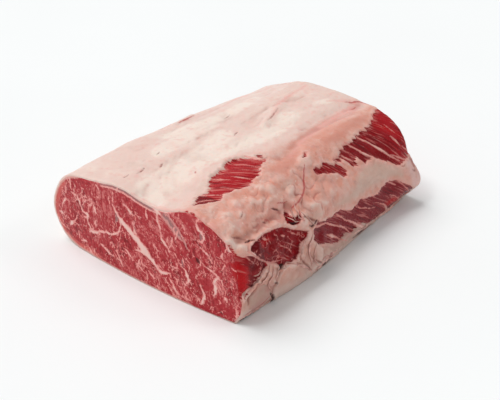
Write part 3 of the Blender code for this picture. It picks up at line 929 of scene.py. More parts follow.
class Tree:
    """A node tree under construction."""

    def __init__(self, tree):
        self.tree = tree

    def node(self, kind, settings=None, inputs=None, output=0):
        """Adds a node. Sockets are named by their identifiers, and output is one's identifier or number."""
        made = self.tree.nodes.new(kind)
        for name, value in (settings or {}).items():
            setattr(made, name, value)
        for name, value in (inputs or {}).items():
            socket = next(s for s in made.inputs if s.identifier == name)
            if isinstance(value, Wire):
                self.tree.links.new(value.socket, socket)
            else:
                socket.default_value = value
        if isinstance(output, int):
            return Wire(self, made.outputs[output])
        return Wire(self, next(s for s in made.outputs if s.identifier == output))

    def math(self, operation, *values):
        names = ("Value", "Value_001")
        return self.node("ShaderNodeMath", {"operation": operation}, dict(zip(names, values)))


class Growth(Tree):
    """A tree of Geometry Nodes under construction, which grows one kind of thing on a mesh."""

    KINDS = {float: "NodeSocketFloat", int: "NodeSocketInt"}

    def __init__(self, name, sizes):
        """sizes are the tree's named inputs and their values, which are numbers."""
        super().__init__(bpy.data.node_groups.new(name, "GeometryNodeTree"))
        self.tree.interface.new_socket("Geometry", in_out="INPUT", socket_type="NodeSocketGeometry")
        self.tree.interface.new_socket("Geometry", in_out="OUTPUT", socket_type="NodeSocketGeometry")
        self.values = {}
        for size, value in sizes.items():
            made = self.tree.interface.new_socket(size, in_out="INPUT", socket_type=self.KINDS[type(value)])
            self.values[made.identifier] = value
        start = self.tree.nodes.new("NodeGroupInput")
        self.mesh = Wire(self, start.outputs[0])
        self.sizes = {size: Wire(self, start.outputs[i + 1]) for i, size in enumerate(sizes)}

    def named(self, name, kind="FLOAT"):
        """The mesh's own number or vector of that name at each point."""
        return self.node("GeometryNodeInputNamedAttribute", {"data_type": kind}, {"Name": name}, "Attribute")

    def random(self, low, high, number):
        """A random number from low to high for each point, where number tells the draws apart."""
        sockets = {"Min_001": low, "Max_001": high, "Seed": self.sizes["Seed"] + number}
        return self.node("FunctionNodeRandomValue", {"data_type": "FLOAT"}, sockets, "Value_001")

    def vector(self, x, y, z):
        return self.node("ShaderNodeCombineXYZ", {}, {"X": x, "Y": y, "Z": z})

    def aligned(self, axis, way, before=None, pivot="AUTO"):
        """The rotation that turns an axis to a way."""
        sockets = {"Vector": way} | ({"Rotation": before} if before else {})
        return self.node("FunctionNodeAlignRotationToVector", {"axis": axis, "pivot_axis": pivot}, sockets)

    def grow(self, name, base, shape, material):
        """Ends the tree with the shape, runs it on the base piece, and gives the result as a new piece."""
        shape = self.node("GeometryNodeRealizeInstances", {}, {"Geometry": shape})
        shape = self.node("GeometryNodeSetShadeSmooth", {}, {"Geometry": shape})
        shape = self.node("GeometryNodeSetMaterial", {}, {"Geometry": shape, "Material": material})
        self.tree.links.new(shape.socket, self.tree.nodes.new("NodeGroupOutput").inputs[0])
        modifier = base.modifiers.new(name, "NODES")
        modifier.node_group = self.tree
        for identifier, value in self.values.items():
            modifier[identifier] = value
        grown = base.evaluated_get(bpy.context.evaluated_depsgraph_get())
        mesh = bpy.data.meshes.new_from_object(grown)
        base.modifiers.remove(modifier)
        mesh.name = name
        return add_object(name, mesh)


def linear(colour):
    """A colour socket's value for an sRGB colour."""
    shares = (value / 255 for value in colour)
    return (*(s / 12.92 if s <= 0.04045 else ((s + 0.055) / 1.055) ** 2.4 for s in shares), 1.0)


class Finish(Tree):
    """A material under construction, on a Principled shader."""

    def __init__(self, name):
        self.material = bpy.data.materials.new(name)
        self.material.use_nodes = True
        super().__init__(self.material.node_tree)
        self.shader = self.tree.nodes["Principled BSDF"]
        self.place = self.node("ShaderNodeTexCoord", output="Object")

    def value(self, name):
        """The piece's own number of that name at each point."""
        return self.node("ShaderNodeAttribute", {"attribute_name": name}, output="Fac")

    def noise(self, place, scale, detail):
        """Noise about 0, from -1 to 1. More detail adds finer waves to it."""
        sockets = {"Vector": place, "Scale": scale, "Detail": detail}
        return 2 * self.node("ShaderNodeTexNoise", {}, sockets, "Fac") - 1

    def grain(self, wave, detail=2.0):
        """Noise with waves that long in millimetres."""
        return self.noise(self.place, 1 / (wave * MM), detail)

    def size(self, value):
        """The value without its sign."""
        return self.math("ABSOLUTE", value)

    def fibres(self, along, across, detail=2.0):
        """Noise drawn out along the fibres of the lean, with its waves in millimetres."""
        place = self.node("ShaderNodeAttribute", {"attribute_name": "fibre"}, output="Vector")
        shares = {"Vector": place, "Vector_001": (1 / along, 1 / across, 1)}
        spread = self.node("ShaderNodeVectorMath", {"operation": "MULTIPLY"}, shares, "Vector")
        return self.noise(spread, 1.0, detail)

    def step(self, value, low, high):
        """Rises smoothly from 0 to 1 as value goes from low to high, of which either may be the larger."""
        sockets = {"Value": value, "From Min": low, "From Max": high}
        return self.node("ShaderNodeMapRange", {"interpolation_type": "SMOOTHSTEP"}, sockets, "Result")

    def mix(self, share, first, second):
        """The first colour where share is 0, and the second where it is 1."""
        sockets = {"Factor_Float": share}
        for name, colour in (("A_Color", first), ("B_Color", second)):
            sockets[name] = colour if isinstance(colour, Wire) else linear(colour)
        return self.node("ShaderNodeMix", {"data_type": "RGBA"}, sockets, "Result_Color")

    def bump(self, height, distance, strength):
        """A normal for a height from 0 to 1, over that distance in millimetres."""
        sockets = {"Strength": strength, "Distance": distance * MM, "Height": height}
        return self.node("ShaderNodeBump", {}, sockets, "Normal")

    def finish(self, varying, fixed):
        """Joins what varies to the shader, and sets the sockets that are the same all over."""
        for name, wire in varying.items():
            self.tree.links.new(wire.socket, self.shader.inputs[name])
        for name, value in fixed.items():
            self.shader.inputs[name].default_value = value
        return self.material


# ---- Finishes ----

# Colours are sRGB, from 0 to 255.
FAT_CREAM = (239, 220, 208)
FAT_IVORY = (229, 199, 188)
FAT_PINK = (228, 166, 156)
FAT_TAN = (219, 152, 133)
FAT_PEACH = (222, 156, 138)
FAT_FLUSH = (204, 136, 120)
FAT_MEMBRANE = (206, 176, 161)
FAT_LILAC = (184, 129, 121)
FAT_GREY = (186, 152, 138)
FAT_KNOB = (224, 184, 178)
FAT_HOLLOW_SHADE = (136, 70, 60)
FAT_VALLEY_SHADE_AND_MOTTLE = (168, 106, 94)
LEAN_BRIGHT = (174, 28, 36)
LEAN_RED = (156, 14, 24)
LEAN_DEEP = (108, 0, 8)
LEAN_DULL = (122, 34, 42)
LEAN_EMBER = (190, 6, 14)
LEAN_DARK = (72, 10, 14)
SINEW_PINK = (214, 132, 124)
VEIN_RED = (176, 52, 54)
SINEW_PALE = (236, 190, 178)
CREASE_SHADE = (128, 58, 48)
GAP_SHADOW = (60, 18, 17)
CUT_DEEP = (138, 14, 24)
CUT_RED = (181, 44, 52)
CUT_LIGHT = (216, 114, 112)
CUT_EDGE = (222, 104, 96)
CUT_BARE = (182, 14, 22)
CUT_FAT = (240, 154, 148)
CUT_FAT_CORE = (250, 208, 198)
FLECK_PINK = (216, 122, 118)
FLECK_PALE = (238, 172, 162)
CUT_FILM = (222, 158, 152)
CUT_POCKET_SHADE = (168, 122, 120)
FLOOR_GREY = (241, 243, 243)
FLOOR_WHITE = (245, 247, 247)

# What all finishes of the meat have in common.
WET = {
    "Subsurface Weight": 0.12,
    "Subsurface Radius": (1.0, 0.35, 0.25),
    "Subsurface Scale": 0.0012,
    "Specular IOR Level": 0.12,
}

# What is laid over the fat, in this order. First mottling: its noise's wave and detail, the heights at which
# it starts and is full, how much of it shows on the cap and on the tan slope, and its colour. The finest
# cream specks are painted glints.
MOTTLING_AND_GLINTS = (
    (6, 2, 0.05, 0.5, 0.35, 0.35, FAT_PINK),
    (22, 3, 0.0, 0.6, 0.24, 0.38, FAT_PINK),
    (7, 2, 0.1, 0.6, 0.0, 0.5, FAT_LILAC),
    (2.8, 2, 0.12, 0.5, 0.0, 0.3, FAT_IVORY),
    (3.4, 2, -0.12, -0.5, 0.0, 0.25, FAT_VALLEY_SHADE_AND_MOTTLE),
    # Painted glints: tiny pale cream specks on the slope stand in for its wet highlights.
    (2.0, 1, 0.4, 0.56, 0.0, 0.6, FAT_CREAM),
    (19, 3, 0.05, 0.55, 0.22, 0.0, FAT_GREY),
)
# Then what the skin's own numbers say: a name, how much coarse and fine noise frays it, and the same again;
# the hollow and valley rows paint shade and highlight.
TINTS_AND_SHADING = (
    ("cream", 0.3, 0.0, 0.3, 1.1, 0.0, 0.7, FAT_CREAM),
    ("membrane", 0.25, 0.1, 0.1, 1.0, 0.7, 0.7, FAT_MEMBRANE),
    ("peach", 0.3, 0.0, 0.1, 1.0, 0.6, 0.6, FAT_PEACH),
    ("flush", 0.3, 0.0, 0.1, 1.0, 0.6, 0.6, FAT_FLUSH),
    ("blush", 0.4, 0.2, 0.1, 1.1, 0.85, 0.85, FAT_PINK),
    ("hem", 0.25, 0.0, 0.1, 1.0, 0.4, 0.4, FAT_GREY),
    # Painted shade in the broad valleys of the relief, and painted highlight on its ridges.
    ("valley_ridge_shading", 0.15, 0.0, 0.15, 1.3, 0.6, 0.6, FAT_VALLEY_SHADE_AND_MOTTLE),
    ("valley_ridge_shading", 0.1, 0.0, -0.2, -1.5, 0.4, 0.4, FAT_CREAM),
    # Painted shade in the small hollows, and painted highlight on the lumps between them.
    ("hollow", 0.0, 0.0, 0.06, 0.6, 0.6, 0.6, FAT_HOLLOW_SHADE),
    ("hollow", 0.0, 0.0, -0.1, -0.5, 0.0, 0.4, FAT_CREAM),
)


def fat_colour(f, fine, coarse, tan):
    """The colour of the fat and the membranes on it, from cream on the cap to tan on the slope, with painted
    shade in its hollows and valleys, painted highlight on the tops between them, and painted glints on the
    slope.
    """
    soft = f.step(f.grain(8, 2), -0.3, 0.4)
    creamy = f.value("cream") + 0.5 * coarse + 0.5 * f.grain(30, 2)
    fat = f.mix(f.step(creamy, 0.1, 0.9), FAT_IVORY, FAT_CREAM)
    fat = f.mix(tan, fat, f.mix(soft * 0.5, FAT_TAN, FAT_IVORY))
    for wave, detail, low, high, on_cap, on_slope, colour in MOTTLING_AND_GLINTS:
        shown = on_cap + (on_slope - on_cap) * tan
        fat = f.mix(f.step(f.grain(wave, detail), low, high) * shown, fat, colour)
    for name, by_coarse, by_fine, low, high, on_cap, on_slope, colour in TINTS_AND_SHADING:
        shown = on_cap + (on_slope - on_cap) * tan
        value = f.value(name) + by_coarse * coarse + by_fine * fine
        fat = f.mix(f.step(value, low, high) * shown, fat, colour)
    fat = f.mix(f.step(f.value("sheet"), 0.1, 0.9) * 0.75, fat, f.mix(soft, FAT_GREY, FAT_LILAC))
    fat = f.mix(f.step(f.value("knob") + 0.2 * coarse, 0.1, 0.9) * 0.8, fat, FAT_KNOB)
    halo = f.step(f.value("lean") + 0.8 * coarse, -4.0, 0.1)
    fat = f.mix(halo * 0.45, fat, f.mix(tan, FAT_GREY, FAT_PINK))
    furrow = f.step(f.value("furrow") + 0.5 * fine + 0.5 * coarse, 0.3, 1.3)
    fat = f.mix(furrow * 0.3, fat, VEIN_RED)
    return f.mix(f.step(f.value("vein") + 0.5 * fine, -0.5, 0.5) * 0.75, fat, VEIN_RED)


def lean_colour(f, fine, coarse, lean_edge):
    """The colour of the lean in the windows, with painted shade and highlight on its relief, and the height
    of its fibres.
    """
    curly = f.value("curly")
    lines = f.fibres(30, 2.7, 2)
    strands = f.fibres(18, 1.3, 3)
    deep = f.value("deep") + 0.22 * f.fibres(30, 4) + 0.2 * coarse + 0.3 * curly * f.grain(4, 2)
    red = f.mix(f.step(deep, 0.05, 0.5), LEAN_BRIGHT, LEAN_RED)
    red = f.mix(f.step(deep, 0.4, 1.0), red, LEAN_DEEP)
    red = f.mix(f.step(f.value("dull") + 0.15 * strands, 0.1, 1.0), red, LEAN_DULL)
    # The lean's own dark grain, set where the fibres' bump is low, so that it also paints shade in the fibre
    # valleys.
    red = f.mix(f.step(lines, -0.1, -0.34) * (1 - curly) * 0.5, red, LEAN_DARK)
    red = f.mix(f.step(strands, -0.1, -0.5) * 0.5, red, LEAN_DARK)
    ember = f.step(f.value("ember") + 0.5 * coarse + 0.4 * f.grain(3, 2), 0.1, 1.1) * 0.8
    red = f.mix(ember, red, LEAN_EMBER)
    # Painted shade: the lean darker in the hollows of its relief.
    red = f.mix(f.step(f.value("hollow"), 0.05, 0.6) * 0.6, red, LEAN_DARK)
    # Pale pink where the fibres' bump is high: the lean's own pale strands, and painted highlight on the
    # fibre ridges.
    red = f.mix(f.step(lines + 0.3 * strands, 0.16, 0.36) * (1 - curly) * 0.55, red, SINEW_PINK)
    # Painted highlight: thin pale pink loops on the knotted lean stand in for glints on its wet bumps.
    curl = f.step(f.size(f.grain(6, 2) + 0.1 * fine), 0.065, 0.015) * f.step(f.grain(8, 1), -0.1, 0.2)
    red = f.mix(curl * curly * 0.75, red, SINEW_PINK)
    fringe = f.step(lean_edge, 5.5, 0.5) * f.step(f.fibres(22, 1.5, 2), -0.05, 0.2)
    red = f.mix(fringe * (1 - curly) * (0.8 - 0.7 * f.value("deep")), red, SINEW_PINK)
    near_cut = f.step(f.value("cut_end") + 0.5 * coarse + 0.5 * fine, 0.2, 0.9)
    red = f.mix(near_cut * (1 - ember) * 0.7, red, CUT_RED)
    frayed_cut = f.step(f.value("cut_end") + 0.9 * fine + 0.5 * strands, 0.75, 1.2)
    red = f.mix(frayed_cut * 0.5, red, CUT_LIGHT)
    red = f.mix(f.step(f.value("strand") + 0.25 * fine, -0.35, 0.35) * 0.75, red, SINEW_PINK)
    return red, 0.25 * strands + 0.2 * lines


def skin_finish():
    """Fat and membrane, with the lean where it shows through, painted shade in the creases and painted shadow
    in the gaps.
    """
    f = Finish("trimmed_fat_and_lean")
    fine = f.grain(1.6, 3)
    coarse = f.grain(9, 3)
    teeth = (2.2 * f.fibres(15, 2.6, 2) + 1.3 * f.fibres(15, 1.3, 2)) * (1 - 0.75 * f.value("curly"))
    lean_edge = f.math("MAXIMUM", f.value("lean"), f.value("red_tip")) + teeth + 0.4 * fine
    lean = f.step(lean_edge, -0.3, 0.5)
    tan = f.step(f.value("tan") + 0.3 * coarse + 0.1 * fine, 0.05, 0.95)
    red, fibre_height = lean_colour(f, fine, coarse, lean_edge)

    colour = f.mix(lean, fat_colour(f, fine, coarse, tan), red)
    sinew = f.step(f.value("sinew") + 0.6 * fine + 0.35 * f.grain(4, 2), -0.3, 0.3)
    pale = f.mix(f.step(f.value("sinew"), 0.1, 1.2), SINEW_PINK, SINEW_PALE)
    colour = f.mix(sinew * 0.9, colour, pale)
    # Painted shade in the creases and nicks, and painted shadow in the gaps under the membranes and the hem.
    colour = f.mix(f.step(f.value("crease") + 0.4 * fine, -0.9, 0.8) * 0.55, colour, CREASE_SHADE)
    colour = f.mix(f.step(f.value("shadowed_gap") + 0.5 * fine, -0.8, 0.7) * 0.92, colour, GAP_SHADOW)

    height = 0.5 + 0.12 * f.grain(1.1, 2) + 0.26 * f.grain(3.6, 3) + lean * fibre_height
    height = height + (0.22 * f.grain(1.9, 2) + 0.2 * f.grain(5.2, 2)) * tan * (1 - lean)
    varying = {
        "Base Color": colour,
        "Roughness": 0.4 - 0.14 * lean + 0.1 * coarse + 0.1 * fine,
        "Coat Weight": (1 - lean) * 0.22,
        "Normal": f.bump(height, 0.5, 0.8),
    }
    return f.finish(varying, WET | {"Coat Roughness": 0.3})


def cut_finish():
    """The cut face of the lean, with its marbling and the painted shade of its grey pockets."""
    f = Finish("cut_lean")
    fine = f.grain(1.1, 3)
    coarse = f.grain(6, 3)
    seam = f.value("seam") + 0.75 * fine + 0.6 * f.grain(2.6) + 0.14 * coarse
    fat = f.step(seam, -0.22, 0.34)
    film = f.step(f.value("film") + 0.3 * fine, -0.4, 0.4)
    pocket = f.step(f.value("pocket") + 0.3 * fine, -0.8, 0.6)
    parting = f.step(f.value("parting") + 0.25 * fine, -0.4, 0.5)
    bare = f.step(f.value("bare") + 0.5 * coarse + 0.4 * f.grain(2.6), 0.2, 0.8)
    crowd = f.value("crowd")
    grit = (f.grain(2.1, 2) + 0.6 * f.fibres(3.4, 1.6, 2)) * (0.45 + crowd)
    tone = f.value("tone") + 0.3 * coarse + 0.9 * grit + 0.5 * f.fibres(9, 2.2, 2)
    red = f.mix(f.step(tone, -0.6, 0.0), CUT_DEEP, CUT_RED)
    red = f.mix(f.step(tone, 0.15, 0.85), red, CUT_LIGHT)
    red = f.mix(bare, red, CUT_BARE)
    open_lean = 1 - bare * 0.8
    veins = f.step(f.value("vein") + 0.6 * f.fibres(4.0, 1.3, 4) + 0.3 * fine, 0.14, 0.42)
    red = f.mix(veins * 0.5 * open_lean, red, CUT_FAT)
    web = f.step(f.size(f.fibres(10, 5, 3) + 0.12 * fine), 0.075, 0.015) * f.step(f.grain(9, 2), -0.05, 0.3)
    red = f.mix(web * 0.6 * open_lean, red, CUT_FAT)
    # Not shade here: on the cut face this number is a random darker tone drawn out along the flow.
    red = f.mix(f.step(f.value("hollow"), 0.02, 0.25) * 0.3, red, CUT_DEEP)
    red = f.mix(f.step(f.value("edge") + 0.3 * coarse, 0.2, 0.9) * 0.7, red, CUT_EDGE)
    # Painted shade: the grey pockets between the films, sunk a little, are darkened further.
    colour = f.mix(pocket * 0.85, red, CUT_POCKET_SHADE)
    colour = f.mix(film * 0.8, colour, CUT_FILM)
    colour = f.mix(fat * 0.95, colour, f.mix(f.step(seam, 0.15, 1.5), CUT_FAT, CUT_FAT_CORE))
    colour = f.mix(parting * 0.8, colour, LEAN_DARK)
    colour = f.mix(f.step(f.value("rim") + 0.4 * coarse, 0.2, 0.9) * 0.85, colour, FAT_PINK)
    roughness = 0.36 + 0.1 * coarse + 0.12 * fine
    height = 0.5 + 0.25 * f.grain(0.8, 2) + 0.2 * f.grain(2.2, 2) + 0.15 * fat
    varying = {"Base Color": colour, "Roughness": roughness, "Normal": f.bump(height, 0.35, 0.7)}
    return f.finish(varying, WET | {"Specular IOR Level": 0.18})


def fleck_finish():
    """The small lumps of fat in the lean."""
    f = Finish("marbling_fat")
    colour = f.mix(f.step(f.grain(3, 2), -0.5, 0.5), FLECK_PINK, FLECK_PALE)
    varying = {"Base Color": colour, "Normal": f.bump(f.grain(0.8, 2), 0.1, 0.5)}
    return f.finish(varying, WET | {"Roughness": 0.38})


def flap_finish():
    """Torn membrane, from grey-pink to nearly white."""
    f = Finish("torn_membrane")
    colour = f.mix(f.step(f.grain(4, 3), -0.4, 0.4), FAT_LILAC, SINEW_PALE)
    colour = f.mix(f.step(f.grain(14, 2), 0.0, 0.5) * 0.6, colour, FAT_GREY)
    varying = {"Base Color": colour, "Normal": f.bump(f.grain(1.4, 3), 0.25, 0.7)}
    return f.finish(varying, WET | {"Roughness": 0.36})


def floor_finish():
    f = Finish("pale_floor")
    colour = f.mix(f.step(f.grain(400, 3), -1, 1), FLOOR_GREY, FLOOR_WHITE)
    return f.finish({"Base Color": colour}, {"Roughness": 0.9, "Specular IOR Level": 0.1})


# ---- The skin ----


def between_places(values, y):
    """Cubic values at each y from values at PLACES, level at both ends."""
    places = np.array(PLACES)
    slopes = np.zeros_like(values)
    slopes[1:-1] = (values[2:] - values[:-2]) / (places[2:] - places[:-2])[:, None, None]
    i = np.clip(np.searchsorted(places, y) - 1, 0, len(places) - 2)
    span = (places[i + 1] - places[i])[:, None, None]
    t = (y - places[i])[:, None, None] / span
    start = values[i] * (2 * t**3 - 3 * t**2 + 1) + slopes[i] * span * (t**3 - 2 * t**2 + t)
    return start + values[i + 1] * (3 * t**2 - 2 * t**3) + slopes[i + 1] * span * (t**3 - t**2)


def section_lines(stations, shares):
    """(x, z) of the bare skin at each station and share, and the way out of it."""
    sections = between_places(np.array(list(OUTLINE.values()), float).transpose(1, 0, 2), stations)
    lines = []
    ways = []
    for section in sections:
        curve = rounded(section)
        run = np.concatenate([[0], np.cumsum(np.linalg.norm(np.diff(curve, axis=0), axis=1))])
        along = unit(np.gradient(curve, axis=0))
        out = np.column_stack([along[:, 1], -along[:, 0]])
        where = shares / 100 * run[-1]
        for laid, values in ((lines, curve), (ways, out)):
            laid.append(np.column_stack([np.interp(where, run, column) for column in values.T]))
    return np.array(lines), np.array(ways)


def fold_relief(folds, p):
    """The height of folds, each from place to place with a half width and a rise."""
    height = np.zeros(p.shape[:-1])
    for start, end, half_width, rise in folds:
        a = on_skin(start)
        run = on_skin(end) - a
        t = np.clip((p - a) @ run / (run @ run), 0, 1)
        away = np.linalg.norm(p - a - t[..., None] * run, axis=-1) / half_width
        height += rise * np.exp(-1.2 * away**2)
    return height


def block_relief(p, base):
    """The long folds, the lumps and the slow swell that the solid has too."""
    height = fold_relief(FOLDS.values(), p)
    draw = np.random.default_rng(LUMP_SEED)
    centres = draw.uniform(on_skin(LUMPS_FROM), on_skin(LUMPS_TO), (LUMPS, 2))
    radii = draw.uniform(*LUMP_RADIUS, LUMPS)
    highest = np.zeros(p.shape[:-1])
    for centre, radius, rise in zip(centres, radii, draw.uniform(*LUMP_HEIGHT, LUMPS)):
        away = np.linalg.norm(p - centre, axis=-1) / radius
        highest = np.maximum(highest, rise * np.clip(1 - away**2, 0, 1) ** 2)
    waves = [noise.noise(Vector(place) / SWELL_WAVE) for place in base.reshape(-1, 3)]
    return height + highest + SWELL * np.array(waves).reshape(highest.shape)


def lean_fields(p):
    """The windows: how deep inside one each place is, how deep and dull its red is, and its pale strands.

    Beside these fields it gives each place's coordinates along and across the fibres of its window.
    """
    fields = {name: np.full(p.shape[:-1], value) for name, value in NO_WINDOW.items()}
    fibre = np.zeros((*p.shape[:-1], 3))
    for number, lean in enumerate(LEANS.values()):
        outline = on_skin(lean.outline)
        close = close_to(outline, p, WINDOW_REACH)
        q = p[close]
        turn = math.radians(lean.grain)
        aside = (outline[:, 1].min() + outline[:, 1].max()) / 2 - q[:, 1]
        along = q[:, 0] * math.cos(turn) - q[:, 1] * math.sin(turn)
        across = q[:, 0] * math.sin(turn) + q[:, 1] * math.cos(turn) - lean.bend * aside**2
        way = np.stack([math.cos(turn) + 2 * lean.bend * aside, np.full_like(aside, -math.sin(turn))], axis=1)
        jumps = ((0.6, (9, 60), 82), (0.5, (4.4, 60), 60 + number), (0.6, (1.9, 24), 80))
        jump = lean.ragged * NOISE.layers(across, along, *jumps)
        q = q + unit(way) * jump[:, None]
        depth = depth_inside(outline, q) + 0.5 * NOISE.over(*q.T, 3.0, 61)
        wins = depth > fields["lean"][close]
        canvas = Canvas(across, along, ((0.35, 6.0),))
        strands = canvas.draw(strand_lines(across, along, lean.apart, number), 1.5)
        found = {"lean": depth, "deep": lean.deep, "dull": lean.dull, "strand": strands}
        for name, value in found.items():
            fields[name][close] = np.where(wins, value, fields[name][close])
        fibres = np.stack([along, across, np.full_like(along, WINDOWS_APART * number)], axis=1)
        fibre[close] = np.where(wins[:, None], fibres, fibre[close])
    return fields, fibre


def strand_lines(across, along, apart, seed):
    """Pale strands that run along the fibres, as lines through (across, along, half width)."""
    draw = np.random.default_rng(seed + 20)
    count = int(np.ptp(across) / apart * np.ptp(along) / STRAND_REACH * 0.7)
    middles = draw.uniform(along.min(), along.max(), count)
    lengths = STRAND_REACH * draw.lognormal(-0.2, 0.5, count) / 2
    places = draw.uniform(across.min(), across.max(), count)
    widths = draw.uniform(0.1, 0.55, count)
    lines = []
    for middle, length, place, width in zip(middles, lengths, places, widths):
        lines.append(((place, middle - length, 0.0), (place, middle, width), (place, middle + length, -0.1)))
    return lines


def sheet_fields(p):
    """The membranes: how much of one lies on each place, its height over the fat, and how rumpled it is."""
    fields = {name: np.zeros(p.shape[:-1]) for name in ("cover", "height", "rumple")}
    wander = np.stack([NOISE.over(*np.moveaxis(p, -1, 0), 5, 90 + axis) for axis in (0, 1)], axis=-1)
    moved = p + 1.2 * wander
    for sheet in SHEETS.values():
        outline = on_skin(sheet.outline)
        close = close_to(outline, moved, SHEET_REACH)
        depth = depth_inside(outline, moved[close])
        inside = ramp(depth, -SHEET_EDGE / 2, SHEET_EDGE / 2)
        lip = 1 - SHEET_LIP + SHEET_LIP * np.exp(-np.clip(depth, 0, 9) / SHEET_LIP_FALL)
        found = {"cover": sheet.grey, "height": sheet.rise * lip, "rumple": sheet.rumple}
        for name, value in found.items():
            fields[name][close] = np.maximum(fields[name][close], inside * value)
    return fields


def blurred(field, times):
    """The field on the skin's grid, smoothed over that many neighbours each way."""
    for _ in range(times):
        padded = np.pad(field, ((1, 1), (0, 0)), mode="edge")
        field = (padded[:-2] + padded[1:-1] + padded[2:]) / 3
        field = (np.roll(field, 1, axis=1) + field + np.roll(field, -1, axis=1)) / 3
    return field


class Skin:
    """The skin on a grid: a row for each station along Y, and a column for each place round the roast."""

    def __init__(self):
        end = LENGTH / 2
        inner = np.linspace(-end + LIP_LENGTH / 2, end - LIP_LENGTH / 2, STATIONS - 2 - 2 * len(END_OFFSETS))
        near = [-end, *(-end + offset for offset in END_OFFSETS)]
        self.stations = np.array([*near, *inner, *(-y for y in near[::-1])])
        steps = [np.arange(low, high, spacing / MM_PER_SHARE) for low, high, spacing in RING_SPANS]
        self.shares = np.concatenate([*steps, [100.0]])
        self.lay_out()
        self.mark()
        self.raise_relief()

    def lay_out(self):
        """The bare ring at each station: the skin, then the flat foot from left to right."""
        line, self.out = section_lines(self.stations, self.shares)
        t = np.linspace(0, 1, FOOT_POINTS + 2)[1:-1, None]
        foot = line[:, -1:] * (1 - t) + line[:, :1] * t
        self.line = np.concatenate([line, foot], axis=1)
        self.y = np.broadcast_to(self.stations[:, None], self.line.shape[:2])
        self.base = np.stack([self.line[..., 0], self.y, self.line[..., 1]], axis=-1)
        from_left = np.linalg.norm(foot - line[:, -1:], axis=-1)
        from_right = np.linalg.norm(foot - line[:, :1], axis=-1)
        under = np.where(from_left < from_right, AROUND + from_left, -from_right)
        skin = np.broadcast_to(self.shares * MM_PER_SHARE, line.shape[:2])
        self.run = np.concatenate([skin, under], axis=1)
        self.share = self.run / MM_PER_SHARE
        self.p = np.stack([self.y, self.run], axis=-1)

    def mark(self):
        """The fields that say what shows where."""
        y, share = self.y, self.share
        leans, self.fibre = lean_fields(self.p)
        # The lean is deepest in colour just behind the near cut, and palest towards the far one.
        leans["deep"] += 0.65 * ramp(y, -117, -108) * (y < -92)
        leans["deep"] -= 0.45 * ramp(y, 88, 110) * (share > 14)
        self.sheets = sheet_fields(self.p)
        slope = ramp(share, 42, 30) * ramp(share, 1, 9)
        self.fields = leans | {
            "sheet": self.sheets["cover"],
            "knob": ramp(y, 100, 112) * ramp(share, 6, 9) * ramp(share, 17, 14),
            "tan": np.clip(slope * (1 + 0.3 * NOISE.over(y, self.run, (40, 26), 1)), 0, 1),
            # Where the lean is knotted: its relief has knots there, and its finish paints glint loops on them
            # as highlight.
            "curly": ramp(y, -34, -40) * ramp(y, -110, -105) * ramp(share, 24, 21),
            "hem": ramp(share, 11, 5) * (share > -2),
            "cut_end": ramp(y, -117, -124),
        }
        canvas = Canvas(y, self.run, ((0.8, 9.0), (0.45, 3.5)))
        for name, lines in LINES.items():
            self.fields[name] = canvas.draw(map(on_skin, lines))
        for name, (lines, reach, edge) in PATCHES.items():
            self.fields[name] = ramp(canvas.draw(map(on_skin, lines), reach), -edge / 2, edge / 2)
        self.fields["cream"] += 0.25 * ramp(share, 38, 46)

    def lean_relief(self):
        """The fibres of the lean, or its knots where they curl, with the sinews and strands on it."""
        curly = self.fields["curly"]
        along, across = self.fibre[..., 0], self.fibre[..., 1]
        fibres = NOISE.layers(along, across, (1, (26, 2.8), 2), (0.5, (12, 1.6), 3))
        knots = NOISE.over(self.y, self.run, 4.6, 12)
        height = FIBRE_HEIGHT * fibres * (1 - curly) + KNOT_HEIGHT * knots * curly
        height += SINEW_HEIGHT * ramp(self.fields["sinew"], -0.6, 1)
        return height + STRAND_HEIGHT * ramp(self.fields["strand"], -0.5, 0.4)

    def fat_relief(self):
        """The crumbs, furrows, drags and wrinkles of the fat and its finer folds, and the furrows alone."""
        y, run, share = self.y, self.run, self.share
        warped = y + 3.0 * NOISE.over(y, run, 12, 4), run + 3.0 * NOISE.over(y, run, 12, 5)
        lumpy = ramp(share, 36, 28) * ramp(share, 9, 13) * (0.5 + 0.5 * ramp(y, 20, -10))
        crumbs = 0.3 * NOISE.billows(*warped, 11, 30)
        crumbs += NOISE.layers(*warped, (0.5, (9, 6.5), 10), (0.45, (17, 11), 11), (0.3, (4.6, 3.6), 14))
        rucks = NOISE.over(*slanted(y, run, RUCK_WAY), (15, 3.6), 16)
        crumbs += 0.4 * rucks * ramp(1.2 * NOISE.over(y, run, 18, 17), -0.5, 0.5)
        furrow = lumpy * ramp(np.abs(NOISE.over(*warped, (15, 9), 13)), 0.2, 0)
        furrow *= ramp(1.5 * NOISE.over(y, run, 22, 15), -0.5, 0.5)
        drag = 0.45 * NOISE.over(y, run, (34, 7), 6)
        drag += 0.24 * NOISE.over(*slanted(y, run, DRAG_WAY), (16, 4.4), 7)
        drag *= ramp(share, 34, 42) * (1 - 0.5 * ramp(share, 56, 68))
        wrinkle = self.sheets["rumple"] * NOISE.over(*slanted(y, run, WRINKLE_WAY), (14, 3.2), 8)
        height = CRUMB_HEIGHT * lumpy * crumbs + drag + WRINKLE_HEIGHT * wrinkle - FURROW_DEPTH * furrow
        return height + PORE_HEIGHT * NOISE.over(y, run, 3.6, 9) + fold_relief(FINE_FOLDS, self.p), furrow

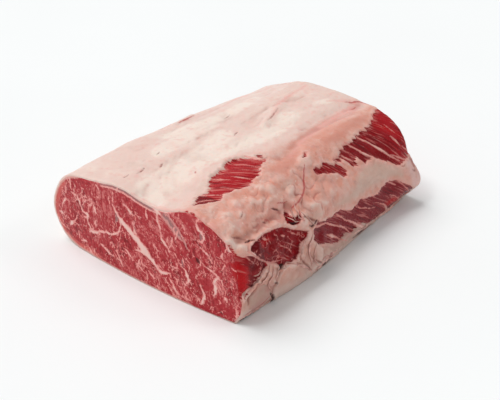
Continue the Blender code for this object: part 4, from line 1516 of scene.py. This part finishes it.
    def raise_relief(self):
        """Raises the skin along its way out, and keeps what is finer than a blur of it as its hollows, and
        its valleys under a wide blur, where the finish paints shade and highlight.
        """
        fields, share = self.fields, self.share
        soft_side = np.maximum(ramp(self.y, 24, 44), ramp(share, 35.5, 38.5))
        edge = WINDOW_EDGE / 2 * (1 + soft_side)
        window = ramp(fields["lean"], -edge, edge)
        fat, furrow = self.fat_relief()
        fine = window * self.lean_relief() + (1 - window) * fat
        fine -= CREASE_DEPTH * ramp(fields["crease"], -0.9, 1.3) + GAP_DEPTH * ramp(fields["shadowed_gap"], -0.6, 1.6)
        lip = np.exp(-((fields["lean"] / WINDOW_LIP_WIDTH + 1) ** 2))
        step = WINDOW_LIP * lip * (1 - 0.7 * soft_side) - WINDOW_DEPTH * window
        step += self.sheets["height"] * (1 - window)
        from_foot = np.minimum(share, 100 - share)
        fade = ramp(from_foot, 0, FOOT_FADE)
        fine_fade = ramp(from_foot, 0, FINE_FADE)
        height = fade * block_relief(self.p, self.base) + fine_fade * (fine + step)
        # For painted shade and highlight: the finish darkens the hollows and valleys and lightens the tops
        # between them.
        shown = fine + 0.5 * step
        fields["hollow"] = np.clip(blurred(shown, HOLLOW_BLUR) - shown, -1, 1) * fine_fade
        fields["furrow"] = furrow * (1 - window)
        fields["valley_ridge_shading"] = np.clip(blurred(height, VALLEY_BLUR) - height, -2, 2) * fade
        corner = ramp(share, 7, 11) * ramp(share, 20, 17) * (self.y < 0)
        from_cut = LENGTH / 2 - np.abs(self.y)
        rest = np.clip(1 - from_cut / (LIP_LENGTH + CORNER_LENGTH * corner), 0, 1)
        height -= (LIP_INSET + CORNER_INSET * corner) * (1 - np.sqrt(1 - rest**2))
        count = len(self.shares)
        points = self.line.copy()
        points[:, :count] += self.out * height[:, :count, None]
        points[..., 1] = np.maximum(points[..., 1], 0)
        self.points = bowed(points, self.y)

    def make(self, name, material):
        """The skin as a closed piece, with a fan of triangles over each end."""
        rows, around = self.y.shape
        points = self.points.reshape(-1, 3)
        ends = (self.points[0].mean(axis=0), self.points[-1].mean(axis=0))
        first = np.arange(around)
        second = np.roll(first, -1)
        faces = []
        for start in range(0, (rows - 1) * around, around):
            ring = (start + first, start + around + first, start + around + second, start + second)
            faces += np.column_stack(ring).tolist()
        near, far = len(points), len(points) + 1
        last = (rows - 1) * around
        faces += [(near, i, j) for i, j in zip(first.tolist(), second.tolist())]
        faces += [(far, last + j, last + i) for i, j in zip(first.tolist(), second.tolist())]
        piece = new_piece(name, np.vstack([points, *ends]), faces, material)
        values = {name: field.ravel() for name, field in self.fields.items()}
        values["fibre"] = self.fibre.reshape(-1, 3)
        give_values(piece.data, {name: with_ends(value) for name, value in values.items()})
        return piece

    def place(self, y, share, lift=0.0):
        """The point of the skin at (y, share), lifted off it by that much."""
        row = np.interp(y, self.stations, np.arange(len(self.stations)))
        column = np.interp(share, self.shares, np.arange(len(self.shares)))
        i, j = int(min(row, len(self.stations) - 2)), int(min(column, len(self.shares) - 2))
        a, b = row - i, column - j
        corners = self.points[i : i + 2, j : j + 2]
        point = np.einsum("i,j,ijk->k", (1 - a, a), (1 - b, b), corners)
        way = np.cross(corners[1, 0] - corners[0, 0], corners[0, 1] - corners[0, 0])
        return point + lift * way / np.linalg.norm(way)


def with_ends(values):
    """The values of a piece's points, with two more for the middles of its ends."""
    return np.concatenate([values, values[:1], values[:1]])


def bowed(points, y):
    """(x, y, z) of points (x, z) at stations y, which near the ends follow the bow of the cut faces."""
    t = 0.5 + y / LENGTH
    near = -LENGTH / 2 - end_bow(points[..., 0], points[..., 1], NEAR_BOW)
    far = LENGTH / 2 + end_bow(points[..., 0], points[..., 1], FAR_BOW)
    return np.stack([points[..., 0], near * (1 - t) + far * t, points[..., 1]], axis=-1)


def end_bow(x, z, bow):
    """How far a cut face bows out at (x, z): most at the middle of its foot, and not at its sides and top."""
    across = np.clip(1 - (x / FACE_HALF_WIDTH) ** 2, 0, 1)
    return bow * across * np.clip(1 - z / FACE_HEIGHT, 0, 1)


# ---- Pieces ----


def foot_shift(skin, solid):
    """How far the roast moves, in millimetres, so that its foot is where the solid's is."""
    points = np.array([v.co for v in solid.data.vertices]) / MM
    foot = points[points[:, 2] < TOUCHING]
    bare = bowed(skin.line, skin.y)[:, [0, *range(len(skin.shares) - 1, skin.line.shape[1])]].reshape(-1, 3)
    shift = (foot.min(axis=0) + foot.max(axis=0) - bare.min(axis=0) - bare.max(axis=0)) / 2
    return np.array([shift[0], shift[1], 0.0])


def new_piece(name, points, faces, material):
    """A smooth piece with points in the roast's own millimetres."""
    mesh = bpy.data.meshes.new(name)
    mesh.from_pydata(((points + SHIFT) * MM).tolist(), [], faces)
    mesh.shade_smooth()
    mesh.materials.append(material)
    return add_object(name, mesh)


def make_flaps(name, skin, material):
    """Thin bands of membrane along FLAPS, each closed, with one long edge standing off the skin."""
    points = []
    faces = []
    turns = np.linspace(0, 2 * math.pi, FLAP_SIDES, endpoint=False)
    aside, up = np.cos(turns), np.sin(turns)
    for number, path in enumerate(FLAPS):
        curve = rounded(path, FLAP_STEPS)
        middle = np.array([skin.place(y, share) for y, share, _ in curve])
        out = np.array([skin.place(y, share, 1.0) for y, share, _ in curve]) - middle
        along = np.gradient(middle, axis=0)
        across = unit(np.cross(along, out))
        t = np.linspace(0, 1, len(curve))
        taper = np.sqrt(np.sin(math.pi * np.clip(t, 0.02, 0.98)))
        uneven = NOISE.over(*on_skin(curve[:, :2]).T, 3.4, 70 + number)
        half = curve[:, 2] * taper * (1 + 0.4 * uneven)
        rise = FLAP_RISE * taper * (0.7 + 0.8 * uneven)
        lift = np.outer(FLAP_THICKNESS * taper, up) + np.outer(rise, (0.5 + aside / 2) ** 2)
        ring = middle[:, None] + across[:, None] * np.outer(half, aside)[..., None]
        ring += out[:, None] * lift[..., None]
        first = sum(map(len, points))
        points.append(ring.reshape(-1, 3))
        faces += band_faces(first, len(curve), FLAP_SIDES)
    piece = new_piece(name, np.vstack(points), faces, material)
    face_outwards(piece.data)
    return piece


def band_faces(first, rows, sides):
    """The faces of a closed tube of rings of points, whose ends are flat."""
    faces = [[first + i for i in range(sides)], [first + (rows - 1) * sides + i for i in range(sides)]]
    for row in range(rows - 1):
        start = first + row * sides
        for i in range(sides):
            j = (i + 1) % sides
            faces.append([start + i, start + j, start + sides + j, start + sides + i])
    return faces


def face_outwards(mesh):
    bm = bmesh.new()
    bm.from_mesh(mesh)
    bmesh.ops.recalc_face_normals(bm, faces=bm.faces[:])
    bm.to_mesh(mesh)
    bm.free()


def flow_way(x):
    """The way the marbling of a cut face runs at x: upright at the sides and slanting in the middle."""
    lean = 0.08 + 0.75 * np.exp(-(((x - 5) / 38) ** 2))
    return unit(np.stack([lean, -np.ones_like(lean)], axis=-1))


def marbling_strokes(outline, count, reach, half_widths, seed):
    """Short lines of marbling on a cut face, gathered in clusters and drawn out along its flow."""
    draw = np.random.default_rng(seed)
    tried = draw.uniform(outline.min(axis=0), outline.max(axis=0), (3 * count, 2))
    crowd = NOISE.layers(*tried.T, (1, 16, 31), (0.7, 6, 32))
    middles = tried[np.argsort(-crowd - draw.normal(0, 0.5, len(tried)))[:count]]
    lengths = reach * draw.lognormal(0, 0.7, count)
    turns = draw.normal(0, 0.55, count)
    widths = draw.uniform(*half_widths, count) + 0.06 * lengths
    bends = draw.normal(0, 0.3, count)
    lines = []
    for middle, length, turn, width, bend in zip(middles, lengths, turns, widths, bends):
        way = turned(flow_way(middle[0]), turn)
        side = turned(way, math.pi / 2) * bend * length
        start, end = middle - way * length, middle + way * length
        lines.append(((*start, width * 0.4 - 0.1), (*(middle + side), width), (*end, width * 0.4 - 0.1)))
    return lines


def turned(way, angle):
    """The flat way, turned by the angle."""
    return way * math.cos(angle) + np.array([-way[1], way[0]]) * math.sin(angle)


def side_shoots(lines, seed):
    """Short fine lines that fray out of the sides of the lines."""
    draw = np.random.default_rng(seed + 40)
    shoots = []
    for line in lines:
        curve = rounded(line, SHOOT_STEPS)
        ways = unit(np.gradient(curve[:, :2], axis=0))
        for (x, z, half_width), way in zip(curve, ways):
            turn = draw.choice((-1, 1)) * draw.uniform(0.3, 1.2)
            length = draw.lognormal(0.7, 0.5) + 1.3 * half_width
            if draw.random() < SHOOT_CHANCE:
                end = np.array([x, z]) + turned(way, turn) * length
                shoots.append(((x, z, 0.5 * half_width + 0.3), (*end, -0.1)))
    return shoots


def fill(outline, points, edges):
    """The triangles between the outline's points, which come first, and those inside it."""
    places = [Vector(p) for p in (*outline, *points)]
    inside_only = 1
    return geometry.delaunay_2d_cdt(places, edges, [], inside_only, SAME_PLACE)[2]


def make_cut_face(name, face, skin, material):
    """A closed slab just inside the skin, whose front is the cut face."""
    ring = skin.points[0 if face.side < 0 else -1][:, [0, 2]]
    outline = inset(ring, FACE_INSET)
    low, high = outline.min(axis=0), outline.max(axis=0)
    rows = np.arange(low[1], high[1], face.spacing * math.sqrt(0.75))
    columns = np.arange(low[0], high[0], face.spacing)
    x, z = np.meshgrid(columns, rows)
    x = x + face.spacing / 2 * (np.arange(len(rows)) % 2)[:, None]
    grid = np.column_stack([x.ravel(), z.ravel()])
    # Every third point of the outline is enough to measure by.
    depth = depth_inside(outline[::3], grid)
    within = depth > face.spacing * RIM_SPACINGS
    flat = np.vstack([outline, grid[within]])
    around = len(outline)
    depth = np.concatenate([np.zeros(around), depth[within]])
    edges = [(i, (i + 1) % around) for i in range(around)]

    fields = face_fields(face, flat, depth, outline)
    rolled = 1 - np.sqrt(1 - np.clip(1 - depth / FACE_ROLL, 0, 1) ** 2)
    out = LENGTH / 2 + FACE_PROUD + end_bow(*flat.T, face.bow) + fields.pop("relief")
    out -= FACE_ROLL_SHARE * FACE_ROLL * rolled
    points = np.column_stack([flat[:, 0], face.side * out, flat[:, 1]])
    back = np.full(around, face.side * (LENGTH / 2 - FACE_BACK))
    behind = np.column_stack([outline[:, 0], back, outline[:, 1]])
    shift = len(points)
    faces = [list(triangle) for triangle in fill(outline, flat[around:], edges)]
    faces += [[shift + i for i in triangle[::-1]] for triangle in fill(outline, (), edges)]
    faces += [[shift + i, shift + j, j, i] for i, j in edges]
    piece = new_piece(name, np.vstack([points, behind]), faces, material)
    give_values(piece.data, {key: np.concatenate([value, value[:around]]) for key, value in fields.items()})
    face_outwards(piece.data)
    return piece


def inset(ring, distance):
    """The closed outline of (x, z) points, moved inwards."""
    along = unit(np.roll(ring, -1, axis=0) - np.roll(ring, 1, axis=0))
    return ring + distance * np.column_stack([-along[:, 1], along[:, 0]])


def face_fields(face, flat, depth, outline):
    """Marbling, films, tone, rim and relief at the points of a cut face."""
    x, z = flat.T
    canvas = Canvas(x, z, ((0.8, 9.0), (0.7, 3.6), (0.4, 1.7)))
    drawn = face.seams + face.marks
    seams = canvas.draw(drawn, 1.5) + 0.15 + NOISE.layers(x, z, (0.6, 4.5, 33), (0.5, 2.2, 36))
    strokes = marbling_strokes(outline, face.strokes, 0.95, (-0.22, 0.26), face.seed)
    strokes += marbling_strokes(outline, face.blots, 1.9, (0.05, 0.65), face.seed + 100)
    strokes = canvas.draw(strokes + side_shoots(drawn, face.seed), 1.5)
    film = canvas.draw(face.films, 1.5)
    pocket = canvas.draw(face.pockets, 2.5)
    parting = canvas.draw(face.partings, 1.5)
    way = flow_way(x)
    along = x * way[:, 0] + z * way[:, 1]
    across = x * way[:, 1] - z * way[:, 0]
    bundles, second = NOISE.pebbles(x + 1.2 * NOISE.over(x, z, 6, 20), z * 0.8, 4.2)

    relief = NOISE.layers(x, z, (FACE_SWELL, FACE_WAVE, 24), (0.22, 7, 25), (0.07, 1.8, 26))
    relief += 0.10 * ramp(second - bundles, 0, 0.5) + 0.16 * ramp(seams, -0.4, 0.8)
    relief -= 0.25 * ramp(film, -0.3, 0.6) + 0.5 * ramp(parting, -0.4, 0.8) + 0.3 * ramp(pocket, -0.8, 1.2)

    # Below the top a strip of leaner meat, and at the rim above it a grey pocket of painted shade with a seam
    # further in.
    lean_strip = ramp(z, 58, 66) * ramp(x, -84, -76) * ramp(x, 26, 14)
    top = ramp(z, 62, 68) * ramp(x, -50, -42) * ramp(x, 24, 18)
    seams = np.maximum(seams, (0.9 - np.abs(depth - 2.6)) * top - 1.5 * (1 - top))
    pocket = np.maximum(pocket, (1.0 - np.abs(depth - 1.0)) * top - 2.5 * (1 - top))

    # The fat at the left side and along the foot, and the bare red lean at the right of the near cut.
    left = ramp(x, -60, -80)
    foot = ramp(x, -30, -60) * ramp(z, 16, 6)
    rim = ramp(depth - 0.6 * left - foot, 2.2, 0.8)
    rim *= np.clip(ramp(z, 40, 20) * ramp(x, 58, 46) + left, 0, 1)
    edge = ramp(depth, 8.5, 3.5) * np.maximum(left * ramp(z, 66, 54), foot)
    bare = ramp(x + 5 * NOISE.over(x, z, 7, 37), 86, 96) * ramp(z, 36, 44) * ramp(z, 68, 60) * (face.side < 0)

    tone = NOISE.layers(x, z, (0.45, (30, 26), 21), (0.2, 3.4, 23)) + 0.12 * (1 - 2 * bundles)
    tone += 0.55 * NOISE.over(along, across, (14, 4.5), 22) + 0.1 * lean_strip
    room = ramp(depth, 0, 3) * ramp(seams, -0.4, -1) * (1 - 0.7 * lean_strip) * (1 - bare)
    crowd = ramp(NOISE.layers(x, z, (0.7, 13, 34), (0.4, 5, 35)), -0.5, 0.5)
    return {
        "seam": np.maximum(seams, strokes - 0.45 * lean_strip - 0.6 * bare),
        "film": film,
        "pocket": pocket,
        "parting": parting,
        "tone": tone,
        "crowd": crowd,
        "vein": 0.3 * (crowd - 0.6) - 0.25 * lean_strip,
        "edge": edge,
        "rim": rim,
        "bare": bare,
        "hollow": 0.35 * NOISE.over(along, across, (7, 1.8), 27),
        "room": room * crowd,
        "way": np.column_stack([way[:, 0], 0 * x, way[:, 1]]),
        "fibre": np.column_stack([along, across, 0 * x]),
        "relief": relief * ramp(depth, 0, 2),
    }


def grow_flecks(name, face, slab):
    """Small lumps of fat set into a cut face by Geometry Nodes, each drawn out along the flow."""
    sizes = {
        "Density": face.flecks * PER_SQUARE_CM,
        "Spacing": FLECK_SPACING * MM,
        "Length": FLECK_RADIUS * MM,
        "Turn": FLECK_TURN,
        "Seed": face.seed,
    }
    g = Growth(name, sizes)
    out = (0, face.side, 0)
    sockets = {"Vector": g.node("GeometryNodeInputNormal"), "Vector_001": out}
    facing = g.node("ShaderNodeVectorMath", {"operation": "DOT_PRODUCT"}, sockets, "Value")
    settings = {"data_type": "FLOAT", "operation": "GREATER_THAN"}
    on_front = g.node("FunctionNodeCompare", settings, {"A": facing, "B": FLECK_FACING})
    sockets = {"Mesh": g.mesh, "Selection": on_front, "Distance Min": g.sizes["Spacing"]}
    sockets |= {"Density Max": g.sizes["Density"], "Density Factor": g.named("room"), "Seed": g.sizes["Seed"]}
    scattered = {"distribute_method": "POISSON"}
    points = g.node("GeometryNodeDistributePointsOnFaces", scattered, sockets, "Points")
    rotation = g.aligned("Z", out)
    rotation = g.aligned("X", g.named("way", "FLOAT_VECTOR"), rotation, "Z")
    spin = g.vector(0.0, 0.0, g.random(-1.0, 1.0, 1) * g.sizes["Turn"])
    sockets = {"Rotation": rotation, "Rotate By": g.node("FunctionNodeEulerToRotation", {}, {"Euler": spin})}
    rotation = g.node("FunctionNodeRotateRotation", {"rotation_space": "LOCAL"}, sockets)
    size = g.random(*FLECK_SIZES[0], 2) * g.random(*FLECK_SIZES[1], 3)
    scale = g.vector(size * g.random(*FLECK_DRAWN, 4), size * g.random(*FLECK_BREADTH, 5), FLECK_RISE)
    sphere = {"Segments": 6, "Rings": 4, "Radius": g.sizes["Length"]}
    lump = g.node("GeometryNodeMeshUVSphere", {}, sphere, "Mesh")
    sockets = {"Points": points, "Instance": lump, "Rotation": rotation, "Scale": scale}
    return g.grow(name, slab, g.node("GeometryNodeInstanceOnPoints", {}, sockets), fleck_finish())


# ---- The stage ----

# The camera looks at a place given like the roast's, from so many degrees off -Y towards +X and above the
# floor, and from so far in millimetres. Half the floor's side is in metres.
CAMERA_TARGET = (27.9, -23.1, 38.0)
CAMERA_AZIMUTH = 38.5
CAMERA_ELEVATION = 31.5
CAMERA_DISTANCE = 855.0
CAMERA_LENS = 74.5
FLOOR_HALF = 40.0
SKY = 0.45

# Where each lamp's light comes from, its strength, and how wide it is in degrees.
LAMPS = {
    "key": ((-0.53, -0.06, 0.85), 1.72, 42.0),
    "sparkle": ((-0.30, -0.42, 0.86), 0.4, 12.0),
    "back": ((0.62, 0.48, 0.62), 0.22, 18.0),
}


def make_floor():
    mesh = bpy.data.meshes.new("floor")
    corners = [(x * FLOOR_HALF, y * FLOOR_HALF, 0) for x, y in ((-1, -1), (1, -1), (1, 1), (-1, 1))]
    mesh.from_pydata(corners, [], [(0, 1, 2, 3)])
    mesh.materials.append(floor_finish())
    add_object("floor", mesh)


def make_light():
    scene = bpy.context.scene
    scene.view_settings.view_transform = "Standard"
    scene.world = bpy.data.worlds.new("studio")
    scene.world.use_nodes = True
    sky = scene.world.node_tree.nodes["Background"]
    sky.inputs["Color"].default_value = (1, 1, 1, 1)
    sky.inputs["Strength"].default_value = SKY
    for name, (way, strength, angle) in LAMPS.items():
        lamp = bpy.data.lights.new(name, "SUN")
        lamp.energy = strength
        lamp.angle = math.radians(angle)
        sun = add_object(name, lamp)
        sun.rotation_mode = "QUATERNION"
        sun.rotation_quaternion = Vector(way).to_track_quat("Z", "Y")


def make_camera():
    azimuth, elevation = math.radians(CAMERA_AZIMUTH), math.radians(CAMERA_ELEVATION)
    back = Vector((math.sin(azimuth) * math.cos(elevation), -math.cos(azimuth) * math.cos(elevation)))
    back = Vector((*back, math.sin(elevation)))
    lens = bpy.data.cameras.new("camera")
    lens.lens = CAMERA_LENS
    camera = add_object("camera", lens)
    camera.location = (Vector(CAMERA_TARGET) + Vector(SHIFT) + back * CAMERA_DISTANCE) * MM
    camera.rotation_mode = "QUATERNION"
    camera.rotation_quaternion = (-back).to_track_quat("-Z", "Y")
    bpy.context.scene.camera = camera


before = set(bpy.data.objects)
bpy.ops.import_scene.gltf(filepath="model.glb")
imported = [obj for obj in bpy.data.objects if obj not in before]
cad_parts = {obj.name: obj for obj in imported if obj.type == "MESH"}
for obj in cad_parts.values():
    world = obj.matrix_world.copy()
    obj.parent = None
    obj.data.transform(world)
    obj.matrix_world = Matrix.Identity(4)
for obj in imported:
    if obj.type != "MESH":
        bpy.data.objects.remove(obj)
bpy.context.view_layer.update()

skin = Skin()
SHIFT = foot_shift(skin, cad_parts["beef_roast"])
roast = skin.make("trimmed_roast", skin_finish())
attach(roast, "root")
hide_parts("beef_roast")

cut_lean = cut_finish()
for name, face in FACES.items():
    cut = make_cut_face(f"{name}_cut", face, skin, cut_lean)
    flecks = grow_flecks(f"{name}_marbling", face, cut)
    for piece in (cut, flecks):
        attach(piece, "root")

flaps = make_flaps("membrane_flaps", skin, flap_finish())
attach(flaps, "root")

make_floor()
make_light()
make_camera()
